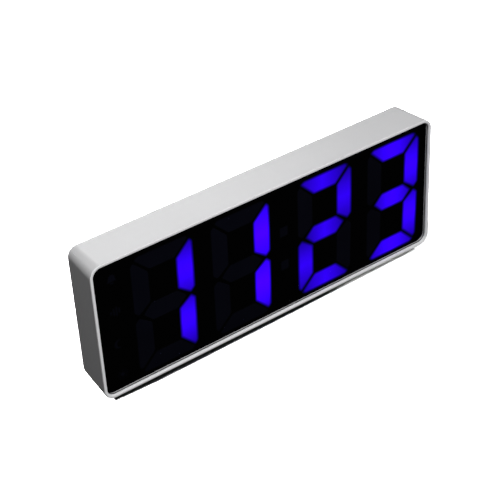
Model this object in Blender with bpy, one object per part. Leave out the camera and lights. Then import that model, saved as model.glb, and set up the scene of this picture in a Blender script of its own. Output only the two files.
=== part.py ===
"""A mirror-front LED alarm clock.

A slim white case holds a smoked front panel with big seven-segment digits behind it. Its rear
cover has a battery box with a hinged door, five buttons and a USB power inlet.

Sizes are in millimetres, and make_object scales them to metres. x runs to the right seen from the
front and z runs up from the surface that the feet stand on. A place is written as x, depth behind
the front of the rim and height above the case's lowest edge; point_at turns it into x, y and z.
"""

import math

import bmesh
import bpy
from mathutils import Matrix, Vector

METRES = 0.001

# How finely curves are divided
CORNER_STEPS = 5
ROUND_STEPS = 18
HOLE_STEPS = 12
FILLET_STEPS = 3

# Case
CASE_WIDTH = 165.4
CASE_HEIGHT = 62.0
CASE_DEPTH = 18.3
TOTAL_DEPTH = 24.0
FOOT_HEIGHT = 1.0
CORNER_RADIUS = 5.0
REAR_CORNER_RADIUS = 4.2
DRAFT_SIDE = 1.45
DRAFT_TOP = 0.78
FRONT_FILLET = 0.4
REAR_FILLET = 0.5
GAP = 0.2

# Front shell, as insets from the outer edge and depths from the rim
RIM_WIDTH = 1.35
RECESS_FLOOR = 3.4
WINDOW_INSET = (3.6, 2.9)
WINDOW_RADIUS = 2.0
POCKET_INSET = (3.0, 2.4)
POCKET_RADIUS = 2.4
POCKET_FRONT = 8.0

# Layers behind the rim
PANEL_FRONT = 1.1
PANEL_BACK = 2.8
TAPE_FRONT = 2.95
TAPE_BACK = 3.2
TAPE_OPENING_INSET = (3.3, 2.7)
TAPE_OPENING_RADIUS = 1.8
REFLECTOR_FRONT = 3.55
REFLECTOR_BACK = 7.95
BOARD_FRONT = 8.2
BOARD_BACK = 9.4
PARTS_ON_BOARD = BOARD_BACK + GAP

# Digits, on the display's own plane
DIGIT_WIDTH = 27.5
DIGIT_HEIGHT = 53.7
DIGIT_BASE = 4.0
STROKE = 7.4
DIGIT_SLANT = 0.01
DIGIT_PITCH = 36.25
FIRST_DIGIT_X = -65.55
COLON_SPACE = 5.5
COLON_X = 5.4
COLON_HEIGHTS = (22.9, 39.0)
COLON_SIZE = (3.9, 4.4)
ICON_X = -73.5
ICON_HEIGHTS = (8.5, 23.2, 38.3, 53.0)
ICON_SIZE = 5.0
LED_SIZE = (3.2, 1.6)
LED_HEIGHT = 0.7
BOARD_HALF_WIDTH = 73.8

# Rear cover
MIDDLE = CASE_HEIGHT / 2
PLATE_FRONT = 16.5
BUMP_HALF = (31.0, 22.0)
BUMP_RADIUS = 4.0
BUMP_FILLET = 1.0
BUMP_DRAFT = 0.15
COVER_RADIUS = 2.2
WALL = 1.8
HOLLOW_BACK = 20.4

# Battery bay and door
BAY_HALF = (24.75, 16.5)
BAY_WALL = 1.2
BAY_FLOOR = 11.2
REBATE_HALF = (26.2, 18.5)
REBATE_FLOOR = 22.2
DOOR_THICKNESS = 1.4
DOOR_FRONT = 22.4
DOOR_HINGE_DEPTH = DOOR_FRONT + DOOR_THICKNESS / 2
DOOR_TOP_GAP = 0.25
GRIP_HALF_LENGTH = 8.0
GRIP_WIDTH = 0.7
GRIP_DEPTH = 0.4
GRIP_FIRST = 3.0
GRIP_PITCH = 1.6
GRIP_COUNT = 3
HINGE_PIN_RADIUS = 0.45
HINGE_PIN_LENGTH = 1.0
NOTCH_HALF_WIDTH = 6.0
NOTCH_HEIGHT = 3.0
NOTCH_DEPTH = 1.0

# Batteries and their contacts
BATTERY_RADIUS = 5.25
BATTERY_LENGTH = 44.5
NUB_RADIUS = 1.9
NUB_LENGTH = 0.8
BATTERY_ROW_PITCH = 10.8
BATTERY_DEPTH = BAY_FLOOR + GAP + BATTERY_RADIUS
CONTACT_THICKNESS = 0.4
CONTACT_WIDTH = 8.0
SPRING_LENGTH = 3.2
TAB_WIDTH = 2.0
TAB_DEPTH = 13.2
TAB_REACH = 27.2
WIRE_RADIUS = 0.5
WIRE_SIDES = 8
WIRE_BEND_STEPS = 6

# Buttons, their switches and travel
BUTTON_NAMES = ("mode", "alarm", "set", "up", "down")
BUTTON_HEIGHT = 44.0
BUTTON_FIRST_X = 39.6
BUTTON_PITCH = 8.4
BUTTON_RADIUS = 3.0
BUTTON_HOLE_RADIUS = 3.3
BUTTON_TOP = 19.1
FLANGE_RADIUS = 3.8
FLANGE_SPAN = (14.9, 16.25)
STEM_RADIUS = 1.6
STEM_FRONT = 13.2
PLUNGER_SPAN = (11.6, 13.0)
PLUNGER_RADIUS = 1.7
SWITCH_SIZE = 6.2
SWITCH_BACK = 12.2
SWITCH_HOLE = (10.7, 2.0)

# Screws
CASE_SCREW_X = 76.6
CASE_SCREW_HEIGHTS = (7.2, 54.8)
BOSS_HALF = 2.4
BOSS_ROOT = 0.6
BOSS_SPAN = (9.8, 15.1)
PILOT_RADIUS = 1.1
PILOT_FRONT = 11.3
SHANK_RADIUS = 0.85
CASE_SCREW_TIP = 11.6
COVER_PAD_RADIUS = 2.7
COVER_PAD_FRONT = 15.4
HEAD_SEAT = 16.7
HEAD_RADIUS = 1.9
HEAD_BORE_RADIUS = 2.15
CLEARANCE_RADIUS = 1.15
HEAD_THICKNESS = 1.3
BOARD_HEAD_THICKNESS = 1.2
BOARD_SCREW_X = (-33.7, 44.4)
BOARD_SCREW_HEIGHTS = (8.0, 54.0)
BOARD_SCREW_PILOT_FRONT = 5.2

# Things on the board: where each stands as x and height, and its size
MICROCONTROLLER_AT = (52.0, 28.0)
MICROCONTROLLER_SIZE = (10.3, 7.5, 2.2)
DRIVER_AT = (-56.0, 50.0)
DRIVER_SIZE = (12.8, 7.5, 2.2)
LEAD_PITCH = 1.27
LEAD_WIDTH = 0.4
CRYSTAL_AT = (66.0, 33.0)
CRYSTAL_SIZE = (10.8, 4.4, 3.4)
CAPACITOR_AT = (-45.0, 12.0)
CAPACITOR_RADIUS = 3.1
CAPACITOR_BACK = 14.7
BUZZER_AT = (-56.0, 31.0)
BUZZER_RADIUS = 6.0
BUZZER_MOUTH_RADIUS = 1.2
BUZZER_BACK = 14.5
THERMISTOR_AT = (-68.0, 14.0)
BEAD_MIDDLE = 12.8
BEAD_PROFILE = ((0.4, -1.2), (1.0, -0.8), (1.3, 0.0), (1.0, 0.8), (0.4, 1.2))
USB_AT = (56.0, 13.0)
USB_SIZE = (7.5, 2.6)
USB_WALL = 0.3
USB_BACK = 17.5

# Vents in the rear cover: slot width and height, pitch and count
BUZZER_VENT = (9.2, 1.2, 2.6, 5)
THERMISTOR_VENT = (4.4, 1.0, 2.2, 3)

# Feet
FOOT_RADIUS = 3.6
FOOT_X = 62.0
FOOT_DEPTHS = (4.8, 13.0)


# ---------------------------------------------------------------- building blocks


def point_at(x, depth, height):
    return Vector((x, depth - TOTAL_DEPTH / 2, height + FOOT_HEIGHT))


def clear_scene():
    for obj in list(bpy.data.objects):
        bpy.data.objects.remove(obj, do_unlink=True)


def plain_material(name, colour, roughness, metallic=0.0):
    material = bpy.data.materials.new(name)
    material.use_nodes = True
    shader = material.node_tree.nodes["Principled BSDF"]
    shader.inputs["Base Color"].default_value = (*colour, 1.0)
    shader.inputs["Roughness"].default_value = roughness
    shader.inputs["Metallic"].default_value = metallic
    return material


def add_object(name, mesh, material, origin=(0.0, 0.0, 0.0)):
    """An object whose origin is moved to a point given in millimetres, without moving its shape."""
    place = Vector(origin) * METRES
    mesh.transform(Matrix.Translation(-place))
    obj = bpy.data.objects.new(name, mesh)
    obj.location = place
    bpy.context.scene.collection.objects.link(obj)
    if material and not mesh.materials:
        mesh.materials.append(material)
    return obj


def make_object(name, shape, material=None, origin=(0.0, 0.0, 0.0), smooth=False):
    bmesh.ops.recalc_face_normals(shape, faces=shape.faces)
    bmesh.ops.scale(shape, vec=(METRES,) * 3, verts=shape.verts)
    mesh = bpy.data.meshes.new(name)
    shape.to_mesh(mesh)
    shape.free()
    obj = add_object(name, mesh, material, origin)
    if smooth:
        mesh.shade_smooth()
        mesh.set_sharp_from_angle(angle=math.radians(35))
    return obj


def combine(target, operation, shapes):
    """Joins shapes to an object, or cuts them from it, and keeps the result as the object's own mesh."""
    for index, shape in enumerate(shapes):
        tool = make_object(f"{target.name}_tool_{index}", shape)
        tool.hide_render = True
        tool.display_type = "WIRE"
        modifier = target.modifiers.new(f"{operation.lower()}_{index}", "BOOLEAN")
        modifier.operation = operation
        modifier.solver = "EXACT"
        modifier.object = tool
        bpy.context.view_layer.update()
        graph = bpy.context.evaluated_depsgraph_get()
        result = bpy.data.meshes.new_from_object(target.evaluated_get(graph))
        target.modifiers.clear()
        target.data = result
        bpy.data.objects.remove(tool, do_unlink=True)
    return target


def join(target, *shapes):
    return combine(target, "UNION", shapes)


def cut(target, *shapes):
    return combine(target, "DIFFERENCE", shapes)


def rounded_rectangle(half_width, half_height, radius, steps=CORNER_STEPS, centre=(0.0, MIDDLE)):
    """The (x, height) outline of a rectangle with round corners, anticlockwise from the front."""
    points = []
    corners = ((1, 1, 0), (-1, 1, 90), (-1, -1, 180), (1, -1, 270))
    for side, up, start in corners:
        for step in range(steps + 1):
            angle = math.radians(start + 90 * step / steps)
            x = side * (half_width - radius) + radius * math.cos(angle)
            height = up * (half_height - radius) + radius * math.sin(angle)
            points.append((centre[0] + x, centre[1] + height))
    return points


def loft(rings, closed_loop=False):
    """Skins rings of (x, depth, height) points, with end caps unless they run in a closed loop."""
    shape = bmesh.new()
    made = [[shape.verts.new(point_at(*point)) for point in ring] for ring in rings]
    pairs = list(zip(made, made[1:]))
    if closed_loop:
        pairs.append((made[-1], made[0]))
    for first, second in pairs:
        for here in range(len(first)):
            there = (here + 1) % len(first)
            shape.faces.new((first[here], first[there], second[there], second[here]))
    if not closed_loop:
        shape.faces.new(made[0])
        shape.faces.new(made[-1])
    return shape


def ring_at(outline, depth):
    return [(x, depth, height) for x, height in outline]


def slab(outline, front, back):
    return loft([ring_at(outline, front), ring_at(outline, back)])


def block(x_span, depth_span, height_span):
    (x0, x1), (h0, h1) = x_span, height_span
    return slab([(x0, h0), (x1, h0), (x1, h1), (x0, h1)], *depth_span)


def circle(centre, radius, steps=ROUND_STEPS):
    return [
        (
            centre[0] + radius * math.cos(math.tau * step / steps),
            centre[1] + radius * math.sin(math.tau * step / steps),
        )
        for step in range(steps)
    ]


def turned(centre, profile, steps=ROUND_STEPS):
    """A solid turned about an axis along depth: profile lists (radius, depth) from one end to the other."""
    return loft([ring_at(circle(centre, radius, steps), depth) for radius, depth in profile])


def ring_about_x(x, depth, height, radius, steps=HOLE_STEPS):
    """A circle that faces along x, about a centre given as depth and height."""
    points = []
    for step in range(steps):
        angle = math.tau * step / steps
        points.append((x, depth + radius * math.cos(angle), height + radius * math.sin(angle)))
    return points


def merged(shapes):
    """Several separate shapes as one, for a cutter or for pieces that a union then joins to a body."""
    whole = bmesh.new()
    for shape in shapes:
        part = bpy.data.meshes.new("part")
        shape.to_mesh(part)
        shape.free()
        whole.from_mesh(part)
        bpy.data.meshes.remove(part)
    return whole


def round_pegs(places, radius, front, back):
    """Short round pegs along depth, one at each place, to cut holes with or to add as pads."""
    return merged(slab(circle(place, radius, HOLE_STEPS), front, back) for place in places)


def inset_outline(inset_x, inset_z, radius):
    return rounded_rectangle(CASE_WIDTH / 2 - inset_x, CASE_HEIGHT / 2 - inset_z, radius)


def fillet_angles():
    return [math.radians(90 * step / FILLET_STEPS) for step in range(FILLET_STEPS + 1)]


# ---------------------------------------------------------------- digits


def segment_outlines():
    """The seven segments of one digit, from its lower left corner, before it is slanted."""
    w, h, s = DIGIT_WIDTH, DIGIT_HEIGHT, STROKE
    middle = h / 2
    lean = 0.9
    top = [(2.4, h), (w - 2.4, h), (w - s - lean, h - s), (s + lean, h - s)]
    upper_right = [
        (w - 1.2, h - 2.0),
        (w, h - 3.4),
        (w, middle + 2.5),
        (w - 1.9, middle + 0.65),
        (w - s, middle + 4.85),
        (w - s, h - s - lean),
    ]
    bar_half = 4.05
    bar = [
        (3.9, middle),
        (3.9 + bar_half, middle - bar_half),
        (w - 3.9 - bar_half, middle - bar_half),
        (w - 3.9, middle),
        (w - 3.9 - bar_half, middle + bar_half),
        (3.9 + bar_half, middle + bar_half),
    ]
    upper_left = [(w - x, z) for x, z in upper_right]
    return {
        "a": top,
        "b": upper_right,
        "c": [(x, h - z) for x, z in upper_right],
        "d": [(x, h - z) for x, z in top],
        "e": [(x, h - z) for x, z in upper_left],
        "f": upper_left,
        "g": bar,
    }


def slanted(point, origin_x):
    x, z = point
    return origin_x + x + DIGIT_SLANT * (z - DIGIT_HEIGHT / 2), DIGIT_BASE + z


def digit_origins():
    return [
        FIRST_DIGIT_X + index * DIGIT_PITCH + (COLON_SPACE if index > 1 else 0.0)
        for index in range(4)
    ]


def display_outlines():
    """Every light cell of the display: 28 segments, two colon dots and four icons."""
    cells = []
    for origin_x in digit_origins():
        for outline in segment_outlines().values():
            cells.append([slanted(point, origin_x) for point in outline])
    half = (COLON_SIZE[0] / 2, COLON_SIZE[1] / 2)
    for height in COLON_HEIGHTS:
        cells.append(rounded_rectangle(*half, 0.4, 1, (COLON_X, height)))
    for height in ICON_HEIGHTS:
        half = ICON_SIZE / 2
        cells.append(rounded_rectangle(half, half, 0.8, 1, (ICON_X, height)))
    return cells


def led_places():
    """The lamps' centres and whether each lies upright: two for each segment, one for each dot and icon."""
    right = DIGIT_WIDTH - STROKE / 2 - 0.3
    left = DIGIT_WIDTH - right
    upper, lower = DIGIT_HEIGHT * 0.71, DIGIT_HEIGHT * 0.29
    bars = [(DIGIT_WIDTH / 2, z) for z in (STROKE / 2, DIGIT_HEIGHT / 2, DIGIT_HEIGHT - STROKE / 2)]
    posts = [(x, z) for x in (left, right) for z in (lower, upper)]
    places = []
    for origin_x in digit_origins():
        for side in (-1, 1):
            places += [(slanted((x + 4.5 * side, z), origin_x), False) for x, z in bars]
            places += [(slanted((x, z + 5.0 * side), origin_x), True) for x, z in posts]
    places += [((COLON_X, height), False) for height in COLON_HEIGHTS]
    places += [((ICON_X + 1.0, height), True) for height in ICON_HEIGHTS]
    return places


# ---------------------------------------------------------------- case front


def outer_rings():
    """The case's outside, from the front fillet to the rear fillet, with its draft."""
    rings = []
    for angle in fillet_angles():
        inset = FRONT_FILLET * (1 - math.sin(angle))
        depth = FRONT_FILLET * (1 - math.cos(angle))
        rings.append(ring_at(inset_outline(inset, inset, CORNER_RADIUS - inset), depth))
    for angle in fillet_angles():
        inset = REAR_FILLET * (1 - math.cos(angle))
        depth = CASE_DEPTH - REAR_FILLET * (1 - math.sin(angle))
        outline = inset_outline(DRAFT_SIDE + inset, DRAFT_TOP + inset, REAR_CORNER_RADIUS - inset)
        rings.append(ring_at(outline, depth))
    return rings


def inner_rings():
    """The case's inside, from the back to the front: pocket, window and panel recess."""
    pocket = inset_outline(*POCKET_INSET, POCKET_RADIUS)
    window = inset_outline(*WINDOW_INSET, WINDOW_RADIUS)
    recess = inset_outline(RIM_WIDTH, RIM_WIDTH, CORNER_RADIUS - RIM_WIDTH)
    return [
        ring_at(pocket, CASE_DEPTH),
        ring_at(pocket, POCKET_FRONT),
        ring_at(window, POCKET_FRONT),
        ring_at(window, RECESS_FLOOR),
        ring_at(recess, RECESS_FLOOR),
        ring_at(recess, 0.0),
    ]


def case_screw_places():
    return [(x, height) for x in (-CASE_SCREW_X, CASE_SCREW_X) for height in CASE_SCREW_HEIGHTS]


def corner_boss(x, height):
    """A boss that grows out of the case's corner walls, for one rear screw."""
    side = math.copysign(1, x)
    up = math.copysign(1, height - MIDDLE)
    wall_x = side * (CASE_WIDTH / 2 - POCKET_INSET[0] + BOSS_ROOT)
    wall_height = MIDDLE + up * (CASE_HEIGHT / 2 - POCKET_INSET[1] + BOSS_ROOT)
    x_span = sorted((x - side * BOSS_HALF, wall_x))
    height_span = sorted((height - up * BOSS_HALF, wall_height))
    return block(x_span, BOSS_SPAN, height_span)


def build_front_shell():
    white = plain_material("white_abs", (0.72, 0.72, 0.73), 0.42)
    shell = make_object("front_shell", loft(outer_rings() + inner_rings(), closed_loop=True), white)
    places = case_screw_places()
    join(shell, merged(corner_boss(*place) for place in places))
    cut(shell, round_pegs(places, PILOT_RADIUS, PILOT_FRONT, BOSS_SPAN[1] + 0.5))


def build_panel_layers():
    """The panel, the frame of tape that holds it, and the diffuser sheet inside that frame."""
    inset = RIM_WIDTH + GAP
    outline = inset_outline(inset, inset, CORNER_RADIUS - inset)
    acrylic = plain_material("smoked_acrylic", (0.012, 0.012, 0.014), 0.05)
    make_object("front_panel", slab(outline, PANEL_FRONT, PANEL_BACK), acrylic)

    foam = plain_material("black_tape", (0.02, 0.02, 0.02), 0.8)
    opening = inset_outline(*TAPE_OPENING_INSET, TAPE_OPENING_RADIUS)
    rings = [
        ring_at(outline, TAPE_FRONT),
        ring_at(outline, TAPE_BACK),
        ring_at(opening, TAPE_BACK),
        ring_at(opening, TAPE_FRONT),
    ]
    make_object("panel_adhesive", loft(rings, closed_loop=True), foam)

    film = plain_material("diffuser_film", (0.75, 0.75, 0.78), 0.5)
    make_object("diffuser_sheet", slab(behind_window(), TAPE_FRONT, TAPE_BACK), film)


def behind_window():
    """The outline of what stands in the case's window with a gap all round."""
    return inset_outline(WINDOW_INSET[0] + GAP, WINDOW_INSET[1] + GAP, WINDOW_RADIUS - GAP)


def board_screw_places():
    return [(x, height) for x in BOARD_SCREW_X for height in BOARD_SCREW_HEIGHTS]


def build_reflector():
    black = plain_material("black_abs", (0.02, 0.02, 0.022), 0.5)
    block_of_cells = slab(behind_window(), REFLECTOR_FRONT, REFLECTOR_BACK)
    reflector = make_object("segment_reflector", block_of_cells, black)
    through = (REFLECTOR_FRONT - 1, REFLECTOR_BACK + 1)
    cut(reflector, merged(slab(cell, *through) for cell in display_outlines()))
    places = board_screw_places()
    cut(reflector, round_pegs(places, PILOT_RADIUS, BOARD_SCREW_PILOT_FRONT, REFLECTOR_BACK + 1))


# ---------------------------------------------------------------- electronics


def build_main_board():
    green = plain_material("circuit_board", (0.02, 0.16, 0.07), 0.45)
    half_z = CASE_HEIGHT / 2 - POCKET_INSET[1] - GAP
    outline = rounded_rectangle(BOARD_HALF_WIDTH, half_z, 1.0, 2)
    board = make_object("main_board", slab(outline, BOARD_FRONT, BOARD_BACK), green)

    lamps = []
    for (x, height), upright in led_places():
        width, tall = reversed(LED_SIZE) if upright else LED_SIZE
        x_span = (x - width / 2, x + width / 2)
        height_span = (height - tall / 2, height + tall / 2)
        depth_span = (BOARD_FRONT - LED_HEIGHT, BOARD_FRONT + 0.3)
        lamps.append(block(x_span, depth_span, height_span))
    join(board, merged(lamps))
    cut(board, round_pegs(board_screw_places(), PILOT_RADIUS, BOARD_FRONT - 1, BOARD_BACK + 1))


def build_chip(name, centre, size, lead_count, material):
    """A chip with a row of bent leads along each long side, its body just off the board."""
    length, width, thickness = size
    x, height = centre
    front = PARTS_ON_BOARD + 0.15
    x_span = (x - length / 2, x + length / 2)
    height_span = (height - width / 2, height + width / 2)
    chip = make_object(name, block(x_span, (front, front + thickness), height_span), material)
    leads = []
    for side in (-1, 1):
        edge = height + side * width / 2
        for index in range(lead_count):
            lead_x = x + (index - (lead_count - 1) / 2) * LEAD_PITCH
            x_span = (lead_x - LEAD_WIDTH / 2, lead_x + LEAD_WIDTH / 2)
            height_span = sorted((edge - 0.3 * side, edge + 1.1 * side))
            leads.append(block(x_span, (PARTS_ON_BOARD, front + 1.2), height_span))
    join(chip, merged(leads))


def build_small_electronics():
    black = plain_material("chip_epoxy", (0.025, 0.025, 0.025), 0.5)
    metal = plain_material("tinned_metal", (0.62, 0.62, 0.6), 0.35, 1.0)
    build_chip("microcontroller", MICROCONTROLLER_AT, MICROCONTROLLER_SIZE, 8, black)
    build_chip("display_driver", DRIVER_AT, DRIVER_SIZE, 10, black)

    half = (CRYSTAL_SIZE[0] / 2, CRYSTAL_SIZE[1] / 2)
    outline = rounded_rectangle(*half, half[1] - 0.01, 5, CRYSTAL_AT)
    can = slab(outline, PARTS_ON_BOARD, PARTS_ON_BOARD + CRYSTAL_SIZE[2])
    make_object("crystal", can, metal, smooth=True)

    x, height = CAPACITOR_AT
    base = CAPACITOR_RADIUS + 0.2
    depth_span = (PARTS_ON_BOARD, PARTS_ON_BOARD + 0.8)
    foot = block((x - base, x + base), depth_span, (height - base, height + base))
    capacitor = make_object("capacitor", foot, metal)
    profile = [
        (CAPACITOR_RADIUS, PARTS_ON_BOARD + 0.4),
        (CAPACITOR_RADIUS, CAPACITOR_BACK - 0.3),
        (CAPACITOR_RADIUS - 0.3, CAPACITOR_BACK),
    ]
    join(capacitor, turned(CAPACITOR_AT, profile))

    profile = [
        (BUZZER_RADIUS, PARTS_ON_BOARD),
        (BUZZER_RADIUS, BUZZER_BACK - 0.4),
        (BUZZER_RADIUS - 0.4, BUZZER_BACK),
        (BUZZER_MOUTH_RADIUS, BUZZER_BACK),
        (BUZZER_MOUTH_RADIUS, BUZZER_BACK - 1.2),
    ]
    make_object("buzzer", turned(BUZZER_AT, profile), black)
    build_thermistor()


def build_thermistor():
    """A bead of epoxy held off the board on two legs."""
    x, height = THERMISTOR_AT
    profile = [(radius, BEAD_MIDDLE + along) for radius, along in BEAD_PROFILE]
    bead = plain_material("thermistor_epoxy", (0.03, 0.03, 0.05), 0.35)
    thermistor = make_object("thermistor", turned(THERMISTOR_AT, profile, HOLE_STEPS), bead)
    legs = []
    for side in (-1, 1):
        leg_x = x + side * 0.55
        x_span = (leg_x - LEAD_WIDTH / 2, leg_x + LEAD_WIDTH / 2)
        height_span = (height - LEAD_WIDTH / 2, height + LEAD_WIDTH / 2)
        legs.append(block(x_span, (PARTS_ON_BOARD, BEAD_MIDDLE), height_span))
    join(thermistor, merged(legs))


def build_usb_socket():
    metal = plain_material("socket_steel", (0.66, 0.66, 0.66), 0.3, 1.0)
    half = (USB_SIZE[0] / 2, USB_SIZE[1] / 2)
    outside = rounded_rectangle(*half, 0.7, 2, USB_AT)
    inside = rounded_rectangle(half[0] - USB_WALL, half[1] - USB_WALL, 0.5, 2, USB_AT)
    floor = PARTS_ON_BOARD + 1.2
    rings = [
        ring_at(outside, PARTS_ON_BOARD),
        ring_at(outside, USB_BACK),
        ring_at(inside, USB_BACK),
        ring_at(inside, floor),
    ]
    socket = make_object("usb_socket", loft(rings), metal)
    x, height = USB_AT
    height_span = (height + 0.05, height + 0.6)
    join(socket, block((x - 2.6, x + 2.6), (floor - 0.4, USB_BACK - 0.8), height_span))


def button_places():
    return [
        (name, (BUTTON_FIRST_X + index * BUTTON_PITCH, BUTTON_HEIGHT))
        for index, name in enumerate(BUTTON_NAMES)
    ]


def build_buttons():
    """For each button: the cap in the cover, the switch on the board and the plunger between them."""
    cap_white = plain_material("button_abs", (0.68, 0.68, 0.69), 0.45)
    switch_black = plain_material("switch_nylon", (0.03, 0.03, 0.03), 0.5)
    plunger_black = plain_material("plunger_nylon", (0.05, 0.05, 0.05), 0.4)
    half = SWITCH_SIZE / 2
    for name, centre in button_places():
        x, height = centre
        height_span = (height - half, height + half)
        body = block((x - half, x + half), (PARTS_ON_BOARD, SWITCH_BACK), height_span)
        switch = make_object(f"{name}_switch", body, switch_black)
        hole_floor, hole_radius = SWITCH_HOLE
        cut(switch, slab(circle(centre, hole_radius, HOLE_STEPS), hole_floor, SWITCH_BACK + 1))

        plunger = slab(circle(centre, PLUNGER_RADIUS, HOLE_STEPS), *PLUNGER_SPAN)
        origin = point_at(x, PLUNGER_SPAN[0], height)
        make_object(f"{name}_plunger", plunger, plunger_black, origin, smooth=True)

        profile = [
            (STEM_RADIUS, STEM_FRONT),
            (STEM_RADIUS, FLANGE_SPAN[0]),
            (FLANGE_RADIUS, FLANGE_SPAN[0]),
            (FLANGE_RADIUS, FLANGE_SPAN[1]),
            (BUTTON_RADIUS, FLANGE_SPAN[1]),
            (BUTTON_RADIUS, BUTTON_TOP - 0.4),
            (BUTTON_RADIUS - 0.4, BUTTON_TOP),
        ]
        origin = point_at(x, BUTTON_TOP, height)
        make_object(f"{name}_button", turned(centre, profile), cap_white, origin, smooth=True)


# ---------------------------------------------------------------- rear cover


def bump_shape():
    """The raised battery housing, with a rounded rear edge."""
    profile = [(0.0, PLATE_FRONT + 0.6), (0.0, CASE_DEPTH)]
    for angle in fillet_angles():
        inset = BUMP_DRAFT + BUMP_FILLET * (1 - math.cos(angle))
        profile.append((inset, TOTAL_DEPTH - BUMP_FILLET * (1 - math.sin(angle))))
    rings = []
    for inset, depth in profile:
        half_x, half_z = BUMP_HALF
        outline = rounded_rectangle(half_x - inset, half_z - inset, BUMP_RADIUS - inset)
        rings.append(ring_at(outline, depth))
    return loft(rings)


def centred_slab(half, radius, front, back, steps=3):
    return slab(rounded_rectangle(*half, radius, steps), front, back)


def hinge_height():
    return MIDDLE + REBATE_HALF[1] - DOOR_TOP_GAP - DOOR_THICKNESS / 2


def rod_along_x(x_span, depth, height, radius):
    return loft([ring_about_x(x, depth, height, radius) for x in x_span])


def vent_slots():
    """The outlines of the openings over the buzzer and over the thermistor."""
    slots = []
    for centre, vent in ((BUZZER_AT, BUZZER_VENT), (THERMISTOR_AT, THERMISTOR_VENT)):
        width, tall, pitch, count = vent
        for index in range(count):
            height = centre[1] + (index - (count - 1) / 2) * pitch
            at = (centre[0], height)
            slots.append(rounded_rectangle(width / 2, tall / 2, tall / 2 - 0.01, 2, at))
    return slots


def row_height(row):
    return MIDDLE + (row - 1) * BATTERY_ROW_PITCH


def tab_slots():
    """Slots in the bay's end walls for the tabs of the first and last contact."""
    slots = []
    for side, row in ((-1, 0), (1, 2)):
        x_span = sorted((side * (BAY_HALF[0] - 0.5), side * (BAY_HALF[0] + BAY_WALL + 0.5)))
        half_width = TAB_WIDTH / 2 + GAP
        height_span = (row_height(row) - half_width, row_height(row) + half_width)
        depth_span = (TAB_DEPTH - GAP, TAB_DEPTH + CONTACT_THICKNESS + GAP)
        slots.append(block(x_span, depth_span, height_span))
    return slots


def build_rear_cover():
    white = plain_material("cover_abs", (0.7, 0.7, 0.71), 0.5)
    outline = inset_outline(POCKET_INSET[0] + GAP, POCKET_INSET[1] + GAP, COVER_RADIUS)
    cover = make_object("rear_cover", slab(outline, PLATE_FRONT, CASE_DEPTH), white)
    join(cover, bump_shape())
    hollow_half = (BUMP_HALF[0] - WALL, BUMP_HALF[1] - WALL)
    cut(cover, centred_slab(hollow_half, BUMP_RADIUS - WALL, PLATE_FRONT - 1, HOLLOW_BACK))
    bay_outside = (BAY_HALF[0] + BAY_WALL, BAY_HALF[1] + BAY_WALL)
    join(cover, centred_slab(bay_outside, 1.6, BAY_FLOOR - BAY_WALL, HOLLOW_BACK + 0.6))
    cut(cover, centred_slab(BAY_HALF, 0.8, BAY_FLOOR, TOTAL_DEPTH + 1))
    cut(cover, centred_slab(REBATE_HALF, 0.3, REBATE_FLOOR, TOTAL_DEPTH + 1, 1))

    notch_top = MIDDLE - REBATE_HALF[1] + 0.5
    notch_centre = (0.0, notch_top - NOTCH_HEIGHT / 2)
    notch = rounded_rectangle(NOTCH_HALF_WIDTH, NOTCH_HEIGHT / 2, 1.2, 3, notch_centre)
    cut(cover, slab(notch, TOTAL_DEPTH - NOTCH_DEPTH, TOTAL_DEPTH + 1))

    pins = []
    reach = REBATE_HALF[0] + HINGE_PIN_LENGTH + GAP
    for side in (-1, 1):
        span = sorted((side * (REBATE_HALF[0] - 0.5), side * reach))
        pins.append(rod_along_x(span, DOOR_HINGE_DEPTH, hinge_height(), HINGE_PIN_RADIUS + GAP))
    cut(cover, merged(pins), merged(tab_slots()))

    places = case_screw_places()
    join(cover, round_pegs(places, COVER_PAD_RADIUS, COVER_PAD_FRONT, PLATE_FRONT + 0.5))
    cut(
        cover,
        round_pegs(places, CLEARANCE_RADIUS, COVER_PAD_FRONT - 1, CASE_DEPTH + 1),
        round_pegs(places, HEAD_BORE_RADIUS, HEAD_SEAT, CASE_DEPTH + 1),
    )

    through = (PLATE_FRONT - 1, CASE_DEPTH + 1)
    holes = [slab(circle(place, BUTTON_HOLE_RADIUS), *through) for _, place in button_places()]
    usb_half = (USB_SIZE[0] / 2 + 0.4, USB_SIZE[1] / 2 + 0.4)
    holes.append(slab(rounded_rectangle(*usb_half, 1.0, 3, USB_AT), *through))
    holes += [slab(slot, *through) for slot in vent_slots()]
    cut(cover, merged(holes))


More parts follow.
